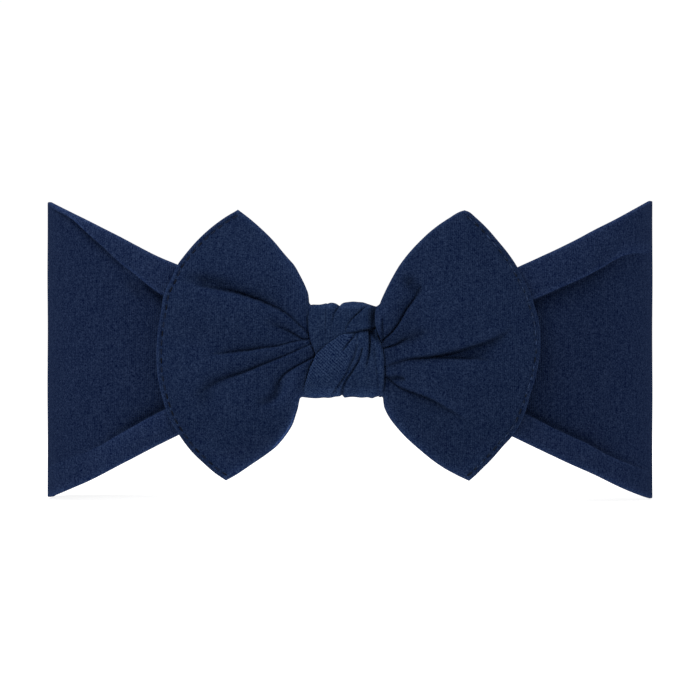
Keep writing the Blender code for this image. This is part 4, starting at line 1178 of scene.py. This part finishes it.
def lower_tone(q):
    """The slanting panel is lightest; painted shade in the corner under the crossing's right end and beside the
    crossing, and painted highlights along the narrow roll and the right edge.
    """
    p = np.stack([q[..., 0], -q[..., 1]], -1)

    def path(points):
        return np.array([(x, -g) for x, g in lay(points)])

    tone = 1.0 + 0.08 * (1 - ease((q[..., 0] + 1.0) / 3.0))
    tone = tone - 0.42 * swell(p, path([(368, 328), (372, 330.5), (375.5, 335.5), (379.5, 341.5)]), [0.6, 1.0, 1.0, 0.5], 1.1, unit=1.0)
    tone += shade(p, path([(329.4, 398), (335.5, 388), (339.1, 383.7), (344.1, 376.6)]), [0.2, 0.22, 0.12, 0], [0.1, 0.1, 0.05, 0], 0.6, 0.6, unit=1.0)
    tone += swell(p, path([(379.6, 348), (381.4, 358), (381.6, 374), (381.4, 392)]), [0.04, 0.10, 0.08, 0.02], 0.7, unit=1.0)
    tone += swell(p, path([(371, 338), (372.6, 346), (374.4, 355), (375.6, 363)]), [-0.10, -0.20, -0.20, -0.04], 0.9, unit=1.0)
    return tone + swell(p, path([(360, 346), (366, 340), (368, 334)]), [-0.04, -0.12, -0.2], 1.2, unit=1.0)


def lower_taut(q):
    """Its ribs show most beside the crossing on the left, and least at the bottom and on the right."""
    return (0.3 + 0.7 * (1 - ease((q[..., 0] + 1.5) / 3.0))) * (0.35 + 0.65 * ease((q[..., 1] + 11.0) / 7.0))


TOP_END = TOP_GIRTH + 8.0
LOW_END = -TOP_GIRTH - 8.0
upper_strand = strand(
    "knot_upper", 210, 150,
    lambda x: cross_at(x) - 1.6 * (1 - over_right(x)),
    lambda x: np.full_like(x, TOP_END),
    upper_shape, upright, upper_tone, lambda q: 0.25 + 0 * q[..., 0], ["knot_upper_strand"],
)
lower_strand = strand(
    "knot_lower", 240, 150,
    lambda x: np.full_like(x, LOW_END),
    lambda x: cross_at(x) + 1.6 * over_right(x),
    lower_shape, slanted, lower_tone, lower_taut, ["knot_lower_strand"],
)


def rear_strand():
    """The strip behind the band, from the top's end round to the bottom's end."""
    rows, columns = 110, 90
    b = np.linspace(0, 1, rows)[None, :]
    a = np.linspace(0, 1, columns)[:, None]
    g = (TOP_END - 1.2) + b * (2 * REAR_GIRTH + LOW_END - TOP_END + 2.4)
    xl, xr = -12.4 - 0.4 * np.sin(math.pi * b), 9.9 + 0.3 * np.sin(math.pi * b)
    x = xl + a * (xr - xl)
    g = np.broadcast_to(g, x.shape)
    q = np.stack([x, g], -1)
    height = soften(rear_shape(q), 1) + 0.35 * np.sin(math.pi * np.broadcast_to(b, x.shape)) - 0.55
    end = np.minimum(x - xl, xr - x)
    height = height - 2.0 * np.clip(1 - end / 1.4, 0, 1) ** 2
    wrapped = np.where(g > REAR_GIRTH, g - 2 * REAR_GIRTH, g)
    angle = np.interp(wrapped, girth, angles)
    y0, z0 = knot_section(angle)
    dy, dz = knot_section(angle + 0.01)
    size = np.hypot(dy - y0, dz - z0)
    ny, nz = -(dz - z0) / size, (dy - y0) / size
    points = np.stack([x, y0 + ny * height, ZC + z0 + nz * height], -1)
    obj = grid_mesh("knot_rear", points, q, np.ones(x.shape), taut=np.full(x.shape, 0.4))
    thicken(obj, CLOTH_T)
    obj.data.materials.append(knot_cloth)
    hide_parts("knot_rear_strand")
    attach(obj, "front")
    return obj


rear = rear_strand()


# ------------------------------------------------------------------ tack and seam stitches
def zigzag(points, lift, outward):
    runs = []
    for a, b in zip(points[:-1], points[1:]):
        f = np.linspace(0, 1, 11)
        run = np.array(a)[None] * (1 - f[:, None]) + np.array(b)[None] * f[:, None]
        run[:, 1] += outward * (lift * np.sin(math.pi * f) ** 0.5)
        runs.append(run)
    return runs


tack_y = KNOT_Y + KNOT_D - 0.20
tack = stitches(
    "knot_tack_stitches",
    [
        zigzag([(-5.9 + 1.35 * i, tack_y, ZC - 2.0), (-5.3 + 1.35 * i, tack_y, ZC + 2.0)], 0.42, 1.0)[0]
        for i in range(8)
    ],
    0.24,
)
tack.data.materials.append(sewing)
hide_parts("knot_tack_thread")
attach(tack, "front")

seam_y = LOOP_Y + LOOP_B + BAND_T / 2 - 0.1
seam = stitches(
    "back_seam_stitches",
    zigzag([(2.3 * (1 if i % 2 else -1), seam_y, ZC + (SEAM_H - 1.5) * (i / 6 - 1)) for i in range(13)], 0.45, 1.0),
    0.26,
)
seam.data.materials.append(sewing)
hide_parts("back_seam_thread")
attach(seam, "loop_back")

# The gathered waist and its thread stay as they are, inside the knot, with the cloth's and the thread's finish.
for name, finish in (("bow_waist", inner_cloth), ("waist_gathering_thread", sewing)):
    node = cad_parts[name]
    node.data.materials.clear()
    node.data.materials.append(finish)

# ------------------------------------------------------------------ floor and light
floor_mesh = bpy.data.meshes.new("floor")
r = 14.0
floor_mesh.from_pydata([(-r, -r, 0), (r, -r, 0), (r, r, 0), (-r, r, 0)], [], [(0, 1, 2, 3)])
floor = bpy.data.objects.new("floor", floor_mesh)
floor.location.z = -0.0002
bpy.context.scene.collection.objects.link(floor)
paper = bpy.data.materials.new("floor_paper")
paper.use_nodes = True
shader = paper.node_tree.nodes["Principled BSDF"]
shader.inputs["Base Color"].default_value = (0.40, 0.40, 0.40, 1)
shader.inputs["Emission Color"].default_value = (1.0, 1.0, 1.0, 1)  # lit from below, like a light table
shader.inputs["Emission Strength"].default_value = 0.78
shader.inputs["Roughness"].default_value = 0.95
shader.inputs["Specular IOR Level"].default_value = 0.0
floor_mesh.materials.append(paper)

world = bpy.data.worlds.new("studio")
bpy.context.scene.world = world
world.use_nodes = True
background = world.node_tree.nodes["Background"]
background.inputs[0].default_value = (1.0, 1.0, 1.0, 1)
background.inputs[1].default_value = 1.02


def softbox(name, place, aim, size, power):
    data = bpy.data.lights.new(name, "AREA")
    data.shape = "RECTANGLE"
    data.size, data.size_y = size
    data.energy = power
    lamp = bpy.data.objects.new(name, data)
    lamp.location = place
    lamp.rotation_euler = (Vector(aim) - Vector(place)).to_track_quat("-Z", "Y").to_euler()
    bpy.context.scene.collection.objects.link(lamp)
    return lamp


softbox("key", (-0.42, -0.42, 0.80), (0, -0.03, 0.046), (0.5, 0.4), 7.0)
softbox("top_back", (0.25, 0.55, 0.9), (0, 0.0, 0.046), (0.7, 0.5), 4.0)

bpy.context.scene.view_settings.view_transform = "Standard"
bpy.context.scene.view_settings.look = "None"
bpy.context.scene.view_settings.exposure = 0.0
bpy.context.scene.view_settings.gamma = 1.0

bpy.context.view_layer.update()
